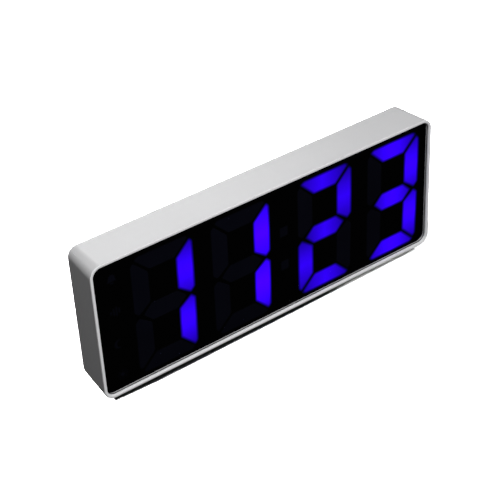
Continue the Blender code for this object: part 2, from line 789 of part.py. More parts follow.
def build_battery_door():
    """The door turns about pins at its top edge, which is rounded about their axis."""
    white = plain_material("door_abs", (0.7, 0.7, 0.71), 0.5)
    half_x = REBATE_HALF[0] - GAP
    radius = DOOR_THICKNESS / 2
    top = hinge_height()
    bottom = MIDDLE - REBATE_HALF[1] + GAP
    steps = 8
    section = [(DOOR_FRONT, bottom)]
    for step in range(steps + 1):
        angle = math.radians(180 - 180 * step / steps)
        section.append((DOOR_HINGE_DEPTH + radius * math.cos(angle), top + radius * math.sin(angle)))
    section.append((DOOR_FRONT + DOOR_THICKNESS, bottom))
    rings = [[(x, depth, height) for depth, height in section] for x in (-half_x, half_x)]
    hinge_line = point_at(0.0, DOOR_HINGE_DEPTH, top)
    door = make_object("battery_door", loft(rings), white)
    pin_reach = half_x + HINGE_PIN_LENGTH
    join(
        door,
        rod_along_x((-pin_reach, -half_x + 1), DOOR_HINGE_DEPTH, top, HINGE_PIN_RADIUS),
        rod_along_x((half_x - 1, pin_reach), DOOR_HINGE_DEPTH, top, HINGE_PIN_RADIUS),
    )
    grip = []
    for index in range(GRIP_COUNT):
        height = bottom + GRIP_FIRST + index * GRIP_PITCH
        depth_span = (DOOR_FRONT + DOOR_THICKNESS - GRIP_DEPTH, DOOR_FRONT + DOOR_THICKNESS + 0.6)
        height_span = (height, height + GRIP_WIDTH)
        grip.append(block((-GRIP_HALF_LENGTH, GRIP_HALF_LENGTH), depth_span, height_span))
    cut(door, merged(grip))
    door.data.transform(Matrix.Translation(-hinge_line * METRES))
    door.location = hinge_line * METRES


# ---------------------------------------------------------------- batteries


def build_batteries():
    sleeve = plain_material("battery_sleeve", (0.05, 0.05, 0.055), 0.35)
    inner_face = BAY_HALF[0] - GAP - CONTACT_THICKNESS
    nub_end = inner_face - GAP
    for row in range(3):
        side = 1 if row != 1 else -1
        ends = [
            (0.0, BATTERY_RADIUS - 0.5),
            (0.4, BATTERY_RADIUS),
            (BATTERY_LENGTH - NUB_LENGTH - 0.4, BATTERY_RADIUS),
            (BATTERY_LENGTH - NUB_LENGTH, BATTERY_RADIUS - 0.5),
            (BATTERY_LENGTH - NUB_LENGTH, NUB_RADIUS),
            (BATTERY_LENGTH, NUB_RADIUS),
        ]
        rings = []
        for along, radius in ends:
            x = side * (nub_end - BATTERY_LENGTH + along)
            rings.append(ring_about_x(x, BATTERY_DEPTH, row_height(row), radius, ROUND_STEPS))
        make_object(f"battery_{row + 1}", loft(rings), sleeve, smooth=True)


def contact_plate(side, rows):
    """The flat strip of a contact, against the bay's end wall and spanning its rows."""
    outer = BAY_HALF[0] - GAP
    x_span = sorted((side * outer, side * (outer - CONTACT_THICKNESS)))
    low, high = row_height(rows[0]), row_height(rows[-1])
    depth_span = (BATTERY_DEPTH - CONTACT_WIDTH / 2, BATTERY_DEPTH + CONTACT_WIDTH / 2)
    return block(x_span, depth_span, (low - CONTACT_WIDTH / 2, high + CONTACT_WIDTH / 2))


def contact_spring(side, row):
    """The cone that the coil spring fills, from the strip to the battery's flat end."""
    base = BAY_HALF[0] - GAP - CONTACT_THICKNESS / 2
    rings = []
    for along, radius in ((0.0, 3.6), (CONTACT_THICKNESS / 2 + SPRING_LENGTH, 2.2)):
        x = side * (base - along)
        rings.append(ring_about_x(x, BATTERY_DEPTH, row_height(row), radius))
    return loft(rings)


def contact_tab(side, row):
    x_span = sorted((side * (BAY_HALF[0] - GAP - 0.1), side * TAB_REACH))
    height_span = (row_height(row) - TAB_WIDTH / 2, row_height(row) + TAB_WIDTH / 2)
    return block(x_span, (TAB_DEPTH, TAB_DEPTH + CONTACT_THICKNESS), height_span)


def build_contacts():
    nickel = plain_material("nickel_strip", (0.6, 0.58, 0.54), 0.3, 1.0)
    for name, side, rows, spring_row, has_tab in (
        ("contact_negative", -1, (0,), 0, True),
        ("contact_link_left", -1, (1, 2), 2, False),
        ("contact_link_right", 1, (0, 1), 1, False),
        ("contact_positive", 1, (2,), None, True),
    ):
        contact = make_object(name, contact_plate(side, rows), nickel)
        if spring_row is not None:
            join(contact, contact_spring(side, spring_row))
        if has_tab:
            join(contact, contact_tab(side, rows[0]))


def build_wires():
    """Two short leads from the end contacts' tabs to the board."""
    bend = TAB_DEPTH - PARTS_ON_BOARD
    start = TAB_REACH + GAP
    for name, side, row, colour in (
        ("wire_negative", -1, 0, (0.02, 0.02, 0.02)),
        ("wire_positive", 1, 2, (0.5, 0.02, 0.02)),
    ):
        rings = []
        for step in range(WIRE_BEND_STEPS + 1):
            angle = math.radians(90 * step / WIRE_BEND_STEPS)
            ring = []
            for turn in range(WIRE_SIDES):
                around = math.tau * turn / WIRE_SIDES
                reach = bend + WIRE_RADIUS * math.cos(around)
                x = side * (start + reach * math.sin(angle))
                depth = PARTS_ON_BOARD + reach * math.cos(angle)
                ring.append((x, depth, row_height(row) + WIRE_RADIUS * math.sin(around)))
            rings.append(ring)
        make_object(name, loft(rings), plain_material(name, colour, 0.5), smooth=True)


# ---------------------------------------------------------------- screws and feet


def screw_shape(centre, seat, tip, head_thickness):
    profile = [
        (SHANK_RADIUS * 0.4, tip),
        (SHANK_RADIUS, tip + 0.8),
        (SHANK_RADIUS, seat),
        (HEAD_RADIUS, seat),
        (HEAD_RADIUS, seat + head_thickness * 0.55),
        (HEAD_RADIUS * 0.72, seat + head_thickness),
    ]
    return turned(centre, profile, HOLE_STEPS)


def cross_recess(centre, head_end, reach, depth):
    x, height = centre
    thin = 0.3
    span = (head_end - depth, head_end + 0.5)
    upright = block((x - thin, x + thin), span, (height - reach, height + reach))
    level = block((x - reach, x + reach), span, (height - thin, height + thin))
    return upright, level


def build_screws():
    steel = plain_material("zinc_steel", (0.55, 0.55, 0.56), 0.35, 1.0)
    seat = HEAD_SEAT + 0.1
    for index, centre in enumerate(case_screw_places(), 1):
        shape = screw_shape(centre, seat, CASE_SCREW_TIP, HEAD_THICKNESS)
        screw = make_object(f"case_screw_{index}", shape, steel)
        cut(screw, *cross_recess(centre, seat + HEAD_THICKNESS, 1.2, 0.8))
    seat = BOARD_BACK + GAP
    for index, centre in enumerate(board_screw_places(), 1):
        shape = screw_shape(centre, seat, BOARD_SCREW_PILOT_FRONT + 0.3, BOARD_HEAD_THICKNESS)
        screw = make_object(f"board_screw_{index}", shape, steel)
        cut(screw, *cross_recess(centre, seat + BOARD_HEAD_THICKNESS, 1.0, 0.7))


def build_feet():
    """Round rubber feet whose tops follow the sloping underside of the case."""
    rubber = plain_material("foot_rubber", (0.02, 0.02, 0.02), 0.8)
    slope = DRAFT_TOP / (CASE_DEPTH - REAR_FILLET)
    places = [(x, depth) for x in (-FOOT_X, FOOT_X) for depth in FOOT_DEPTHS]
    for index, place in enumerate(places, 1):
        full = circle(place, FOOT_RADIUS)
        rings = [
            [(x, depth, -FOOT_HEIGHT) for x, depth in circle(place, FOOT_RADIUS - 0.3)],
            [(x, depth, 0.3 - FOOT_HEIGHT) for x, depth in full],
            [(x, depth, slope * depth - 0.1) for x, depth in full],
        ]
        make_object(f"foot_{index}", loft(rings), rubber, smooth=True)


def main():
    clear_scene()
    build_front_shell()
    build_panel_layers()
    build_reflector()
    build_main_board()
    build_small_electronics()
    build_usb_socket()
    build_buttons()
    build_rear_cover()
    build_battery_door()
    build_batteries()
    build_contacts()
    build_wires()
    build_screws()
    build_feet()


main()
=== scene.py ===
"""The looks of the mirror-front LED alarm clock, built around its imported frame.

Sizes are in millimetres. A place is written as x, depth behind the front of the rim and height above the
case's lowest edge, and place() turns it into the frame's x, y and z. make_object scales to metres.
"""

import math

import bmesh
import bpy
from mathutils import Matrix, Vector
from mathutils.geometry import delaunay_2d_cdt


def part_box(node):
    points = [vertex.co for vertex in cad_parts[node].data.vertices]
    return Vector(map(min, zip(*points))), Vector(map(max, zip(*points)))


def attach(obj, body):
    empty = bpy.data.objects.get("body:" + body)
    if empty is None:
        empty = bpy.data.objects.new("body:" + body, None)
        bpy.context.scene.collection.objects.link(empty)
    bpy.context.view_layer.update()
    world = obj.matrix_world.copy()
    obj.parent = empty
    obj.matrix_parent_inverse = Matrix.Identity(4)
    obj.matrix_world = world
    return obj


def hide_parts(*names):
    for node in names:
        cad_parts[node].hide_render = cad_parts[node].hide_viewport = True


METRES = 0.001

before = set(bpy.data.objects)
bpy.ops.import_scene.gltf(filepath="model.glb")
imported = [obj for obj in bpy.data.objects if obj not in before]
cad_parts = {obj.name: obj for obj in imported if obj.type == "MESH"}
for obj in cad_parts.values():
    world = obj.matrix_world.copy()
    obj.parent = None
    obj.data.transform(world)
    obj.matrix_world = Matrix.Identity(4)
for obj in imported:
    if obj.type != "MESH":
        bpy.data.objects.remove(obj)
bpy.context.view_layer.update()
shell_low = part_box("front_shell")[0] / METRES
ORIGIN = Vector((0.0, shell_low.y, shell_low.z))


def node_box(name):
    """A node's two corners, as x, depth and height."""
    low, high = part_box(name)
    return low / METRES - ORIGIN, high / METRES - ORIGIN


def node_depths(name):
    return tuple(corner.y for corner in node_box(name))


def node_half(name):
    low, high = node_box(name)
    return (high.x - low.x) / 2, (high.z - low.z) / 2


# Sizes read from the frame
DEPTH = node_depths("front_shell")[1]
WIDTH, HEIGHT = (2 * half for half in node_half("front_shell"))
MIDDLE = HEIGHT / 2
PANEL_FRONT, PANEL_BACK = node_depths("front_panel")
PANEL_HALF = node_half("front_panel")
COVER_HALF = node_half("rear_cover")
TOTAL_DEPTH = node_depths("rear_cover")[1]
door_low, door_high = node_box("battery_door")

# The door turns about the middle of its round top edge
DOOR_RADIUS = (door_high.y - door_low.y) / 2
HINGE_DEPTH = door_low.y + DOOR_RADIUS
HINGE_HEIGHT = door_high.z - DOOR_RADIUS

# Case details that the frame's boxes do not give
CORNER_RADIUS = 5.0
DRAFT_SIDE = 1.45
DRAFT_TOP = 0.78
RIM_WIDTH = 1.35
FRONT_FILLET = 0.4
REAR_FILLET = 0.5
RIM_EDGE = 0.48
RECESS_FLOOR = 3.4
WINDOW_INSET = (3.6, 2.9)
TAPE_OPENING_INSET = (3.3, 2.7)
POCKET_INSET = (3.0, 2.4)
POCKET_FRONT = 8.0
BOSS_HALF = 2.4
BOSS_ROOT = 0.6
BOSS_SPAN = (9.8, 15.1)
PILOT_RADIUS = 1.1
PILOT_FRONT = 11.3
GAP = 0.2

# Display, on the panel's front face
DIGIT_WIDTH = 27.5
DIGIT_HEIGHT = 53.7
DIGIT_BASE = 4.0
STROKE = 7.4
DIGIT_SLANT = 0.01
DIGIT_PITCH = 36.25
FIRST_DIGIT_X = -65.55
COLON_SPACE = 5.5
COLON_X = 5.4
COLON_HEIGHTS = (22.9, 39.0)
COLON_HALF = (1.95, 2.2)
ICON_X = -73.5
ICON_HEIGHTS = (8.5, 23.2, 38.3, 53.0)
SHOWN = ("bc", "bc", "abged", "abgcd")
SEGMENT_CORNER = 0.8
GLOW_EDGE = 0.9
HALO_WIDTH = 0.45
LIGHT_SHARES = (0.0, 0.2, 1.0)
LAMP_OFFSETS = {"a": -0.1, "b": -0.07, "c": 0.12}
DIGIT_POWERS = (1.22, 2.1, 0.96, 1.25)

# Rear cover
PLATE_FRONT = 16.5
BUMP_HALF = (31.0, 22.0)
BUMP_RADIUS = 4.0
BUMP_FILLET = 1.0
BUMP_FOOT = 0.7
WALL = 1.8
HOLLOW_BACK = 20.4
BAY_HALF = (24.75, 16.5)
BAY_WALL = 1.2
BAY_FLOOR = 11.2
REBATE_HALF = (26.2, 18.5)
REBATE_FLOOR = 22.2
NOTCH_HALF_WIDTH = 6.0
NOTCH_HEIGHT = 3.0
NOTCH_DEPTH = 1.0
HINGE_PIN_RADIUS = 0.45
HINGE_PIN_LENGTH = 1.0
BUTTONS = ("mode", "alarm", "set", "up", "down")
BUTTON_HOLE_RADIUS = 3.3
FLANGE_SPAN = (14.9, 16.25)
TAB_SPAN = (13.0, 13.8)
TAB_HALF_WIDTH = 1.2
SCREW_HOLE_RADIUS = 1.15
SCREW_BORE_RADIUS = 2.15
SCREW_SEAT = 16.7
SCREW_PAD_RADIUS = 2.7
SCREW_PAD_FRONT = 15.4
BATTERY_ROW_PITCH = 10.8
MARK_X = 17.0
VENTS = (("buzzer", 5, 2.6, 4.6, 0.6), ("thermistor", 3, 2.2, 2.2, 0.5))
COIL_TURNS = 4
COIL_RADII = (3.3, 2.1)

# Camera, as the photograph was taken
CAMERA_AZIMUTH = -35.259
CAMERA_ELEVATION = 35.024
CAMERA_ROLL = -3.018
CAMERA_DISTANCE = 567.25
CAMERA_AIM = (-4.75, -1.56, 30.74)
CAMERA_LENS = 102.37

# Light: the room's from low to high, then name, place in metres, size and power of each soft light, and name,
# direction and power of each floor sun
ROOM_LIGHT = (0.0008, 0.003)
SOFT_LIGHTS = (
    ("key", (-0.105, -0.36, 0.45), 0.14, 2.25),
    ("front_fill", (0.35, -0.9, 0.22), 0.3, 2.3),
    ("left_fill", (-0.7, -0.15, 0.25), 0.4, 0.24),
    ("corner_fill", (-0.4, 0.55, 0.44), 0.25, 0.7),
    ("back_fill", (0.3, 0.8, 0.12), 0.5, 7.0),
    ("rear_low", (0.1, 0.9, 0.06), 0.12, 2.2),
)
FLOOR_SUNS = (
    ("floor_sun_right", (1.0, 0.009, 0.35), 26.0),
    ("floor_sun_left", (-0.4, 0.022, 1.0), 15.0),
    ("floor_sun_low_left", (-1.0, 0.4, 1.0), 23.0),
    ("floor_sun_low_right", (1.0, 0.013, 0.0225), 75.0),
)


# ---- shapes


def place(x, depth, height):
    return Vector((x, depth, height)) + ORIGIN


def node_centre(name):
    """A node's centre as x and height."""
    low, high = node_box(name)
    return (low.x + high.x) / 2, (low.z + high.z) / 2


def arc(centre, radius, start, turn, steps):
    """Points round a centre, from a start angle and turned by an angle at each step, in degrees."""
    points = []
    for step in steps:
        angle = math.radians(start + turn * step)
        points.append((centre[0] + radius * math.cos(angle), centre[1] + radius * math.sin(angle)))
    return points


def circle(centre, radius, steps=40):
    return arc(centre, radius, 0, 360 / steps, range(steps))


def rounded_rectangle(half_width, half_height, radius, steps=10, centre=(0.0, MIDDLE)):
    points = []
    for side, up, start in ((1, 1, 0), (-1, 1, 90), (-1, -1, 180), (1, -1, 270)):
        corner = (centre[0] + side * (half_width - radius), centre[1] + up * (half_height - radius))
        points += arc(corner, radius, start, 90 / steps, range(steps + 1))
    return points


def inset_outline(inset_x, inset_z, radius, steps=14):
    return rounded_rectangle(WIDTH / 2 - inset_x, HEIGHT / 2 - inset_z, radius, steps)


def mirrored(half):
    """A whole outline from its left half."""
    return half + [(-x, z) for x, z in reversed(half)]


def ring_at(outline, depth):
    return [(x, depth, height) for x, height in outline]


def skin(shape, rings):
    """Joins each ring of vertices to the next one."""
    for first, second in zip(rings, rings[1:]):
        for here in range(len(first)):
            there = (here + 1) % len(first)
            shape.faces.new((first[here], first[there], second[there], second[here]))


def loft(rings, closed_loop=False):
    """Skins rings of (x, depth, height) points, with end caps unless the rings run in a closed loop."""
    shape = bmesh.new()
    made = [[shape.verts.new(place(*point)) for point in ring] for ring in rings]
    if closed_loop:
        skin(shape, made + made[:1])
    else:
        skin(shape, made)
        shape.faces.new(made[0])
        shape.faces.new(made[-1])
    return shape


def slab(outline, front, back):
    return loft([ring_at(outline, front), ring_at(outline, back)])


def peg(centre, radius, front, back, steps=40):
    return slab(circle(centre, radius, steps), front, back)


SCREW_PLACES = [node_centre(f"case_screw_{index}") for index in range(1, 5)]


def screw_pegs(*sizes):
    """A peg on each screw's axis."""
    return [peg(centre, *sizes) for centre in SCREW_PLACES]


def turned(centre, profile, steps=40):
    """A solid turned about an axis along depth, from (radius, depth) pairs."""
    return loft([ring_at(circle(centre, radius, steps), depth) for radius, depth in profile])


def eased_corner(before, here, after, steps=4):
    """The points of a short curve across a corner, from its reach back to its reach ahead."""
    shares = [step / steps for step in range(steps + 1)]
    return [tuple(here + before * (1 - t) ** 2 + after * t**2) for t in shares]


def rounded_profile(corners):
    """A (radius, depth) profile with some corners rounded: each corner is (radius, depth, fillet)."""
    profile = []
    for index, (radius, depth, fillet) in enumerate(corners):
        if fillet <= 0 or index in (0, len(corners) - 1):
            profile.append((radius, depth))
            continue
        here = Vector((radius, depth))
        before = (Vector(corners[index - 1][:2]) - here).normalized() * fillet
        after = (Vector(corners[index + 1][:2]) - here).normalized() * fillet
        profile += eased_corner(before, here, after)
    return profile


def rod_along_x(x_radius_pairs, depth, height, steps=24):
    """A solid turned about an axis along x, from (x, radius) pairs."""
    rings = []
    for x, radius in x_radius_pairs:
        rings.append([(x, *point) for point in circle((depth, height), radius, steps)])
    return loft(rings)


def block(x_span, depth_span, height_span):
    (x0, x1), (h0, h1) = x_span, height_span
    return slab([(x0, h0), (x1, h0), (x1, h1), (x0, h1)], *depth_span)


def merged(shapes):
    whole = bmesh.new()
    for shape in shapes:
        part = bpy.data.meshes.new("part")
        shape.to_mesh(part)
        shape.free()
        whole.from_mesh(part)
        bpy.data.meshes.remove(part)
    return whole


def tube(points, radius, steps=8):
    """A round wire along a list of (x, depth, height) points, with flat ends."""
    path = [Vector(point) for point in points]
    rings = []
    side = None
    for index, point in enumerate(path):
        ahead = path[min(index + 1, len(path) - 1)] - path[max(index - 1, 0)]
        ahead.normalize()
        if side is None:
            side = ahead.orthogonal().normalized()
        side = (side - ahead * side.dot(ahead)).normalized()
        across = ahead.cross(side)
        rings.append([point + (side * u + across * v) for u, v in circle((0.0, 0.0), radius, steps)])
    return loft(rings)


# ---- pieces


def make_object(name, shape, *materials):
    bmesh.ops.recalc_face_normals(shape, faces=shape.faces)
    bmesh.ops.scale(shape, vec=(METRES,) * 3, verts=shape.verts)
    mesh = bpy.data.meshes.new(name)
    shape.to_mesh(mesh)
    shape.free()
    obj = bpy.data.objects.new(name, mesh)
    bpy.context.scene.collection.objects.link(obj)
    for material in materials:
        mesh.materials.append(material)
    return obj


def apply_modifiers(obj):
    graph = bpy.context.evaluated_depsgraph_get()
    result = bpy.data.meshes.new_from_object(obj.evaluated_get(graph))
    obj.modifiers.clear()
    obj.data = result


def combine(target, operation, *shapes):
    for shape in shapes:
        tool = make_object("tool", shape)
        modifier = target.modifiers.new("boolean", "BOOLEAN")
        modifier.operation = operation
        modifier.solver = "EXACT"
        modifier.object = tool
        bpy.context.view_layer.update()
        apply_modifiers(target)
        bpy.data.objects.remove(tool, do_unlink=True)


def join(target, *shapes):
    combine(target, "UNION", *shapes)


def cut(target, *shapes):
    combine(target, "DIFFERENCE", *shapes)


def round_edges(obj, width, segments=2, angle=40):
    bevel = obj.modifiers.new("edges", "BEVEL")
    bevel.width = width * METRES
    bevel.segments = segments
    bevel.limit_method = "ANGLE"
    bevel.angle_limit = math.radians(angle)
    bevel.miter_outer = "MITER_ARC"
    apply_modifiers(obj)


def finish_piece(obj, slot, *nodes, body="case", smooth_angle=38):
    """Shades a piece, and says what it rides on and stands for. The slot, what it is made of, is not used."""
    mesh = obj.data
    mesh.shade_smooth()
    mesh.set_sharp_from_angle(angle=math.radians(smooth_angle))
    weighted = obj.modifiers.new("flat_faces", "WEIGHTED_NORMAL")
    weighted.keep_sharp = True
    weighted.weight = 60
    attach(obj, body)
    if nodes:
        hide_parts(*nodes)


# ---- materials


class Nodes:
    """A short way to write a material's node tree."""

    def __init__(self, name):
        self.material = bpy.data.materials.new(name)
        self.material.use_nodes = True
        self.tree = self.material.node_tree
        self.shader = self.tree.nodes["Principled BSDF"]
        self.coordinates = self.add("ShaderNodeTexCoord").outputs["Object"]

    def add(self, kind, **settings):
        node = self.tree.nodes.new(kind)
        for key, value in settings.items():
            setattr(node, key, value)
        return node

    def link(self, start, end):
        self.tree.links.new(start, end)

    def set(self, **values):
        for key, value in values.items():
            self.shader.inputs[key.replace("_", " ")].default_value = value

    def noise(self, scale, detail=3.0, stretch=None):
        vector = self.coordinates
        if stretch:
            mapping = self.add("ShaderNodeMapping")
            mapping.inputs["Scale"].default_value = stretch
            self.link(vector, mapping.inputs["Vector"])
            vector = mapping.outputs["Vector"]
        node = self.add("ShaderNodeTexNoise")
        node.inputs["Scale"].default_value = scale
        node.inputs["Detail"].default_value = detail
        node.inputs["Roughness"].default_value = 0.55
        self.link(vector, node.inputs["Vector"])
        return node.outputs["Fac"]

    def tone(self, scale, low, high, detail=3.0):
        """Lets the base colour drift between two colours."""
        node = self.add("ShaderNodeValToRGB")
        first, last = node.color_ramp.elements
        first.position, last.position = 0.35, 0.65
        first.color, last.color = (*low, 1.0), (*high, 1.0)
        self.link(self.noise(scale, detail), node.inputs["Fac"])
        self.link(node.outputs["Color"], self.shader.inputs["Base Color"])

    def spread(self, value, low, high):
        """Maps a noise to a number between two numbers."""
        node = self.add("ShaderNodeMapRange")
        for name, number in (("From Min", 0.3), ("From Max", 0.7), ("To Min", low), ("To Max", high)):
            node.inputs[name].default_value = number
        self.link(value, node.inputs["Value"])
        return node.outputs["Result"]

    def gloss(self, value, low, high):
        self.link(self.spread(value, low, high), self.shader.inputs["Roughness"])

    def math(self, operation, first, second=None):
        node = self.add("ShaderNodeMath", operation=operation)
        for socket, value in zip(node.inputs, (first, second)):
            if isinstance(value, (int, float)):
                socket.default_value = value
            elif value is not None:
                self.link(value, socket)
        return node.outputs["Value"]

    def bump(self, value, strength, distance):
        node = self.add("ShaderNodeBump")
        node.inputs["Strength"].default_value = strength
        node.inputs["Distance"].default_value = distance * METRES
        self.link(value, node.inputs["Height"])
        self.link(node.outputs["Normal"], self.shader.inputs["Normal"])


def moulded_plastic(name, colour, roughness=0.42, grain=0.25, grain_size=0.35, variation=0.02):
    """Moulded plastic: fine spark-eroded grain, slow drift of tone and uneven gloss."""
    n = Nodes(name)
    darker, lighter = ([c * (1 + change) for c in colour] for change in (-variation, variation))
    n.tone(28.0, darker, lighter, 4.0)
    n.gloss(n.noise(420.0), roughness - 0.05, roughness + 0.05)
    n.bump(n.noise(1.0 / (grain_size * METRES), 2.0), grain, 0.02)
    return n.material


def plain_metal(name, colour, roughness=0.3):
    """Plated metal: fine texture, patchy gloss and slightly uneven colour."""
    n = Nodes(name)
    n.set(Metallic=1.0)
    n.tone(160.0, [c * 0.86 for c in colour], colour, 5.0)
    n.gloss(n.noise(500.0, 4.0), roughness - 0.08, roughness + 0.1)
    n.bump(n.noise(2600.0), 0.18, 0.01)
    return n.material


def matte_rubber(name, colour):
    n = Nodes(name)
    n.tone(300.0, colour, [c * 1.7 for c in colour], 5.0)
    n.gloss(n.noise(900.0), 0.72, 0.9)
    n.bump(n.noise(3500.0, 4.0), 0.35, 0.02)
    return n.material


def circuit_board(name):
    """Green solder mask over faint copper tracks that run along x and z."""
    n = Nodes(name)
    tracks = n.add("ShaderNodeTexBrick")
    for socket, value in (
        ("Scale", 260.0),
        ("Mortar Size", 0.03),
        ("Color1", (0.012, 0.11, 0.045, 1.0)),
        ("Color2", (0.014, 0.13, 0.055, 1.0)),
        ("Mortar", (0.04, 0.24, 0.1, 1.0)),
    ):
        tracks.inputs[socket].default_value = value
    turn = n.add("ShaderNodeMapping")
    turn.inputs["Rotation"].default_value = (math.radians(90), 0.0, 0.0)
    n.link(n.coordinates, turn.inputs["Vector"])
    n.link(turn.outputs["Vector"], tracks.inputs["Vector"])
    n.link(tracks.outputs["Color"], n.shader.inputs["Base Color"])
    n.gloss(n.noise(700.0), 0.3, 0.42)
    n.bump(tracks.outputs["Fac"], 0.2, 0.02)
    return n.material


PANEL_BLACK = (0.0004,) * 3
GHOST_GREY = (0.0028, 0.0030, 0.0066)
LIT_COLOUR = (0.032, 0.0, 1.0)
PANEL_GLOSS = 4.5


def panel_surface(name, colour):
    """Smoked acrylic with a half-mirror film: black, polished, with faint wipe marks in its gloss."""
    n = Nodes(name)
    n.set(IOR=PANEL_GLOSS)
    n.tone(60.0, colour, [c * 1.25 for c in colour], 4.0)
    n.gloss(n.noise(90.0, 5.0, stretch=(1.0, 1.0, 0.35)), 0.03, 0.055)
    return n


def lit_surface(name):
    """A light cell behind the panel: brightest over its lamps and dimmer towards its ends and edges."""
    n = panel_surface(name, PANEL_BLACK)
    n.set(Emission_Color=(*LIT_COLOUR, 1.0))
    glow, power = n.add("ShaderNodeSeparateXYZ"), n.add("ShaderNodeSeparateXYZ")
    for layer, node in (("glow", glow), ("power", power)):
        n.link(n.add("ShaderNodeUVMap", uv_map=layer).outputs["UV"], node.inputs["Vector"])
    to_end = n.math("POWER", n.math("ABSOLUTE", glow.outputs["X"]), 1.15)
    along = n.math("SUBTRACT", 1.0, n.math("MULTIPLY", to_end, 0.67))
    light = n.math("MULTIPLY", n.math("MULTIPLY", along, glow.outputs["Y"]), power.outputs["X"])
    light = n.math("MULTIPLY", light, n.spread(n.noise(250.0), 0.97, 1.03))
    n.link(light, n.shader.inputs["Emission Strength"])
    return n.material


# ---- case and panel


def fillet_steps(count=6):
    return [math.radians(90 * step / count) for step in range(count + 1)]


def case_rings():
    """The shell's section, round its outside from the front and back up its inside, as a closed loop."""
    sections = []
    for angle in fillet_steps():
        inset = FRONT_FILLET * (1 - math.sin(angle))
        sections.append((inset, inset, CORNER_RADIUS - inset, FRONT_FILLET * (1 - math.cos(angle))))
    for angle in fillet_steps():
        inset = REAR_FILLET * (1 - math.cos(angle))
        depth = DEPTH - REAR_FILLET * (1 - math.sin(angle))
        sections.append((DRAFT_SIDE + inset, DRAFT_TOP + inset, CORNER_RADIUS - 0.8 - inset, depth))
    sections += [
        (POCKET_INSET[0] - 0.15, POCKET_INSET[1] - 0.15, 2.55, DEPTH),
        (*POCKET_INSET, 2.4, DEPTH - 0.15),
        (*POCKET_INSET, 2.4, POCKET_FRONT),
        (*WINDOW_INSET, 2.0, POCKET_FRONT),
        (*WINDOW_INSET, 2.0, RECESS_FLOOR),
        (RIM_WIDTH, RIM_WIDTH, CORNER_RADIUS - RIM_WIDTH, RECESS_FLOOR),
    ]
    for angle in fillet_steps(4):
        inset = RIM_WIDTH - RIM_EDGE * (1 - math.cos(angle))
        sections.append((inset, inset, CORNER_RADIUS - inset, RIM_EDGE * (1 - math.sin(angle))))
    return [ring_at(inset_outline(*section), depth) for *section, depth in sections]


def corner_boss(x, height):
    """A boss that grows out of the case's corner walls, for one rear screw."""
    side = math.copysign(1, x)
    up = math.copysign(1, height - MIDDLE)
    wall_x = side * (WIDTH / 2 - POCKET_INSET[0] + BOSS_ROOT)
    wall_height = MIDDLE + up * (HEIGHT / 2 - POCKET_INSET[1] + BOSS_ROOT)
    x_span = sorted((x - side * BOSS_HALF, wall_x))
    height_span = sorted((height - up * BOSS_HALF, wall_height))
    return block(x_span, BOSS_SPAN, height_span)


def build_case():
    white = moulded_plastic("white_case_plastic", (0.78, 0.78, 0.79), 0.4, 0.12, 0.3, 0.012)
    case = make_object("case_front", loft(case_rings(), closed_loop=True), white)
    join(case, merged(corner_boss(*centre) for centre in SCREW_PLACES))
    cut(case, merged(screw_pegs(PILOT_RADIUS, PILOT_FRONT, BOSS_SPAN[1] + 0.5, 24)))
    finish_piece(case, "white_case", "front_shell", smooth_angle=30)


def segment_outlines():
    """The seven segments of one digit, from its lower left corner, before it is slanted."""
    w, h, s = DIGIT_WIDTH, DIGIT_HEIGHT, STROKE
    middle = h / 2
    top = [(3.2, h), (w - 3.2, h), (w - 1.7, h - 1.0), (w - s - 0.8, h - s), (s + 0.8, h - s), (1.7, h - 1.0)]
    upper_right = [
        (w - 1.2, h - 2.0),
        (w, h - 3.4),
        (w, middle + 2.5),
        (w - 1.9, middle + 0.65),
        (w - s, middle + 4.85),
        (w - s, h - s - 0.9),
    ]
    left, right = 3.9, w - 3.9
    bar = [(left, middle), (left + 4.05, middle - 4.05), (right - 4.05, middle - 4.05)]
    bar += [(right, middle), (right - 4.05, middle + 4.05), (left + 4.05, middle + 4.05)]
    upper_left = [(w - x, z) for x, z in upper_right]
    return {
        "a": top,
        "b": upper_right,
        "c": [(x - 0.012 * (z - middle), h - z) for x, z in upper_right],
        "d": [(x, h - z) for x, z in top],
        "e": [(x, h - z) for x, z in upper_left],
        "f": upper_left,
        "g": bar,
    }


def slanted(point, origin_x):
    x, z = point
    return origin_x + x + DIGIT_SLANT * (z - DIGIT_HEIGHT / 2), DIGIT_BASE + z


def softened(outline, radius):
    """An outline with each corner rounded by a short arc."""
    points = []
    for index, corner in enumerate(outline):
        here = Vector(corner)
        before = Vector(outline[index - 1]) - here
        after = Vector(outline[(index + 1) % len(outline)]) - here
        reach = min(radius, before.length * 0.45, after.length * 0.45)
        points += eased_corner(before.normalized() * reach, here, after.normalized() * reach)
    return points


def anticlockwise(outline):
    pairs = zip(outline, outline[1:] + outline[:1])
    area = sum(x0 * z1 - x1 * z0 for (x0, z0), (x1, z1) in pairs)
    return outline if area > 0 else outline[::-1]


def shrunk(outline, distance):
    """A convex anticlockwise outline with every side moved inwards."""
    sides = []
    for index, corner in enumerate(outline):
        start = Vector(corner)
        along = (Vector(outline[(index + 1) % len(outline)]) - start).normalized()
        sides.append((start + Vector((-along.y, along.x)) * distance, along))
    points = []
    for index, (start, along) in enumerate(sides):
        before, before_along = sides[index - 1]
        turn = before_along.x * along.y - before_along.y * along.x
        offset = start - before
        reach = (offset.x * along.y - offset.y * along.x) / turn
        points.append(tuple(before + before_along * reach))
    return points


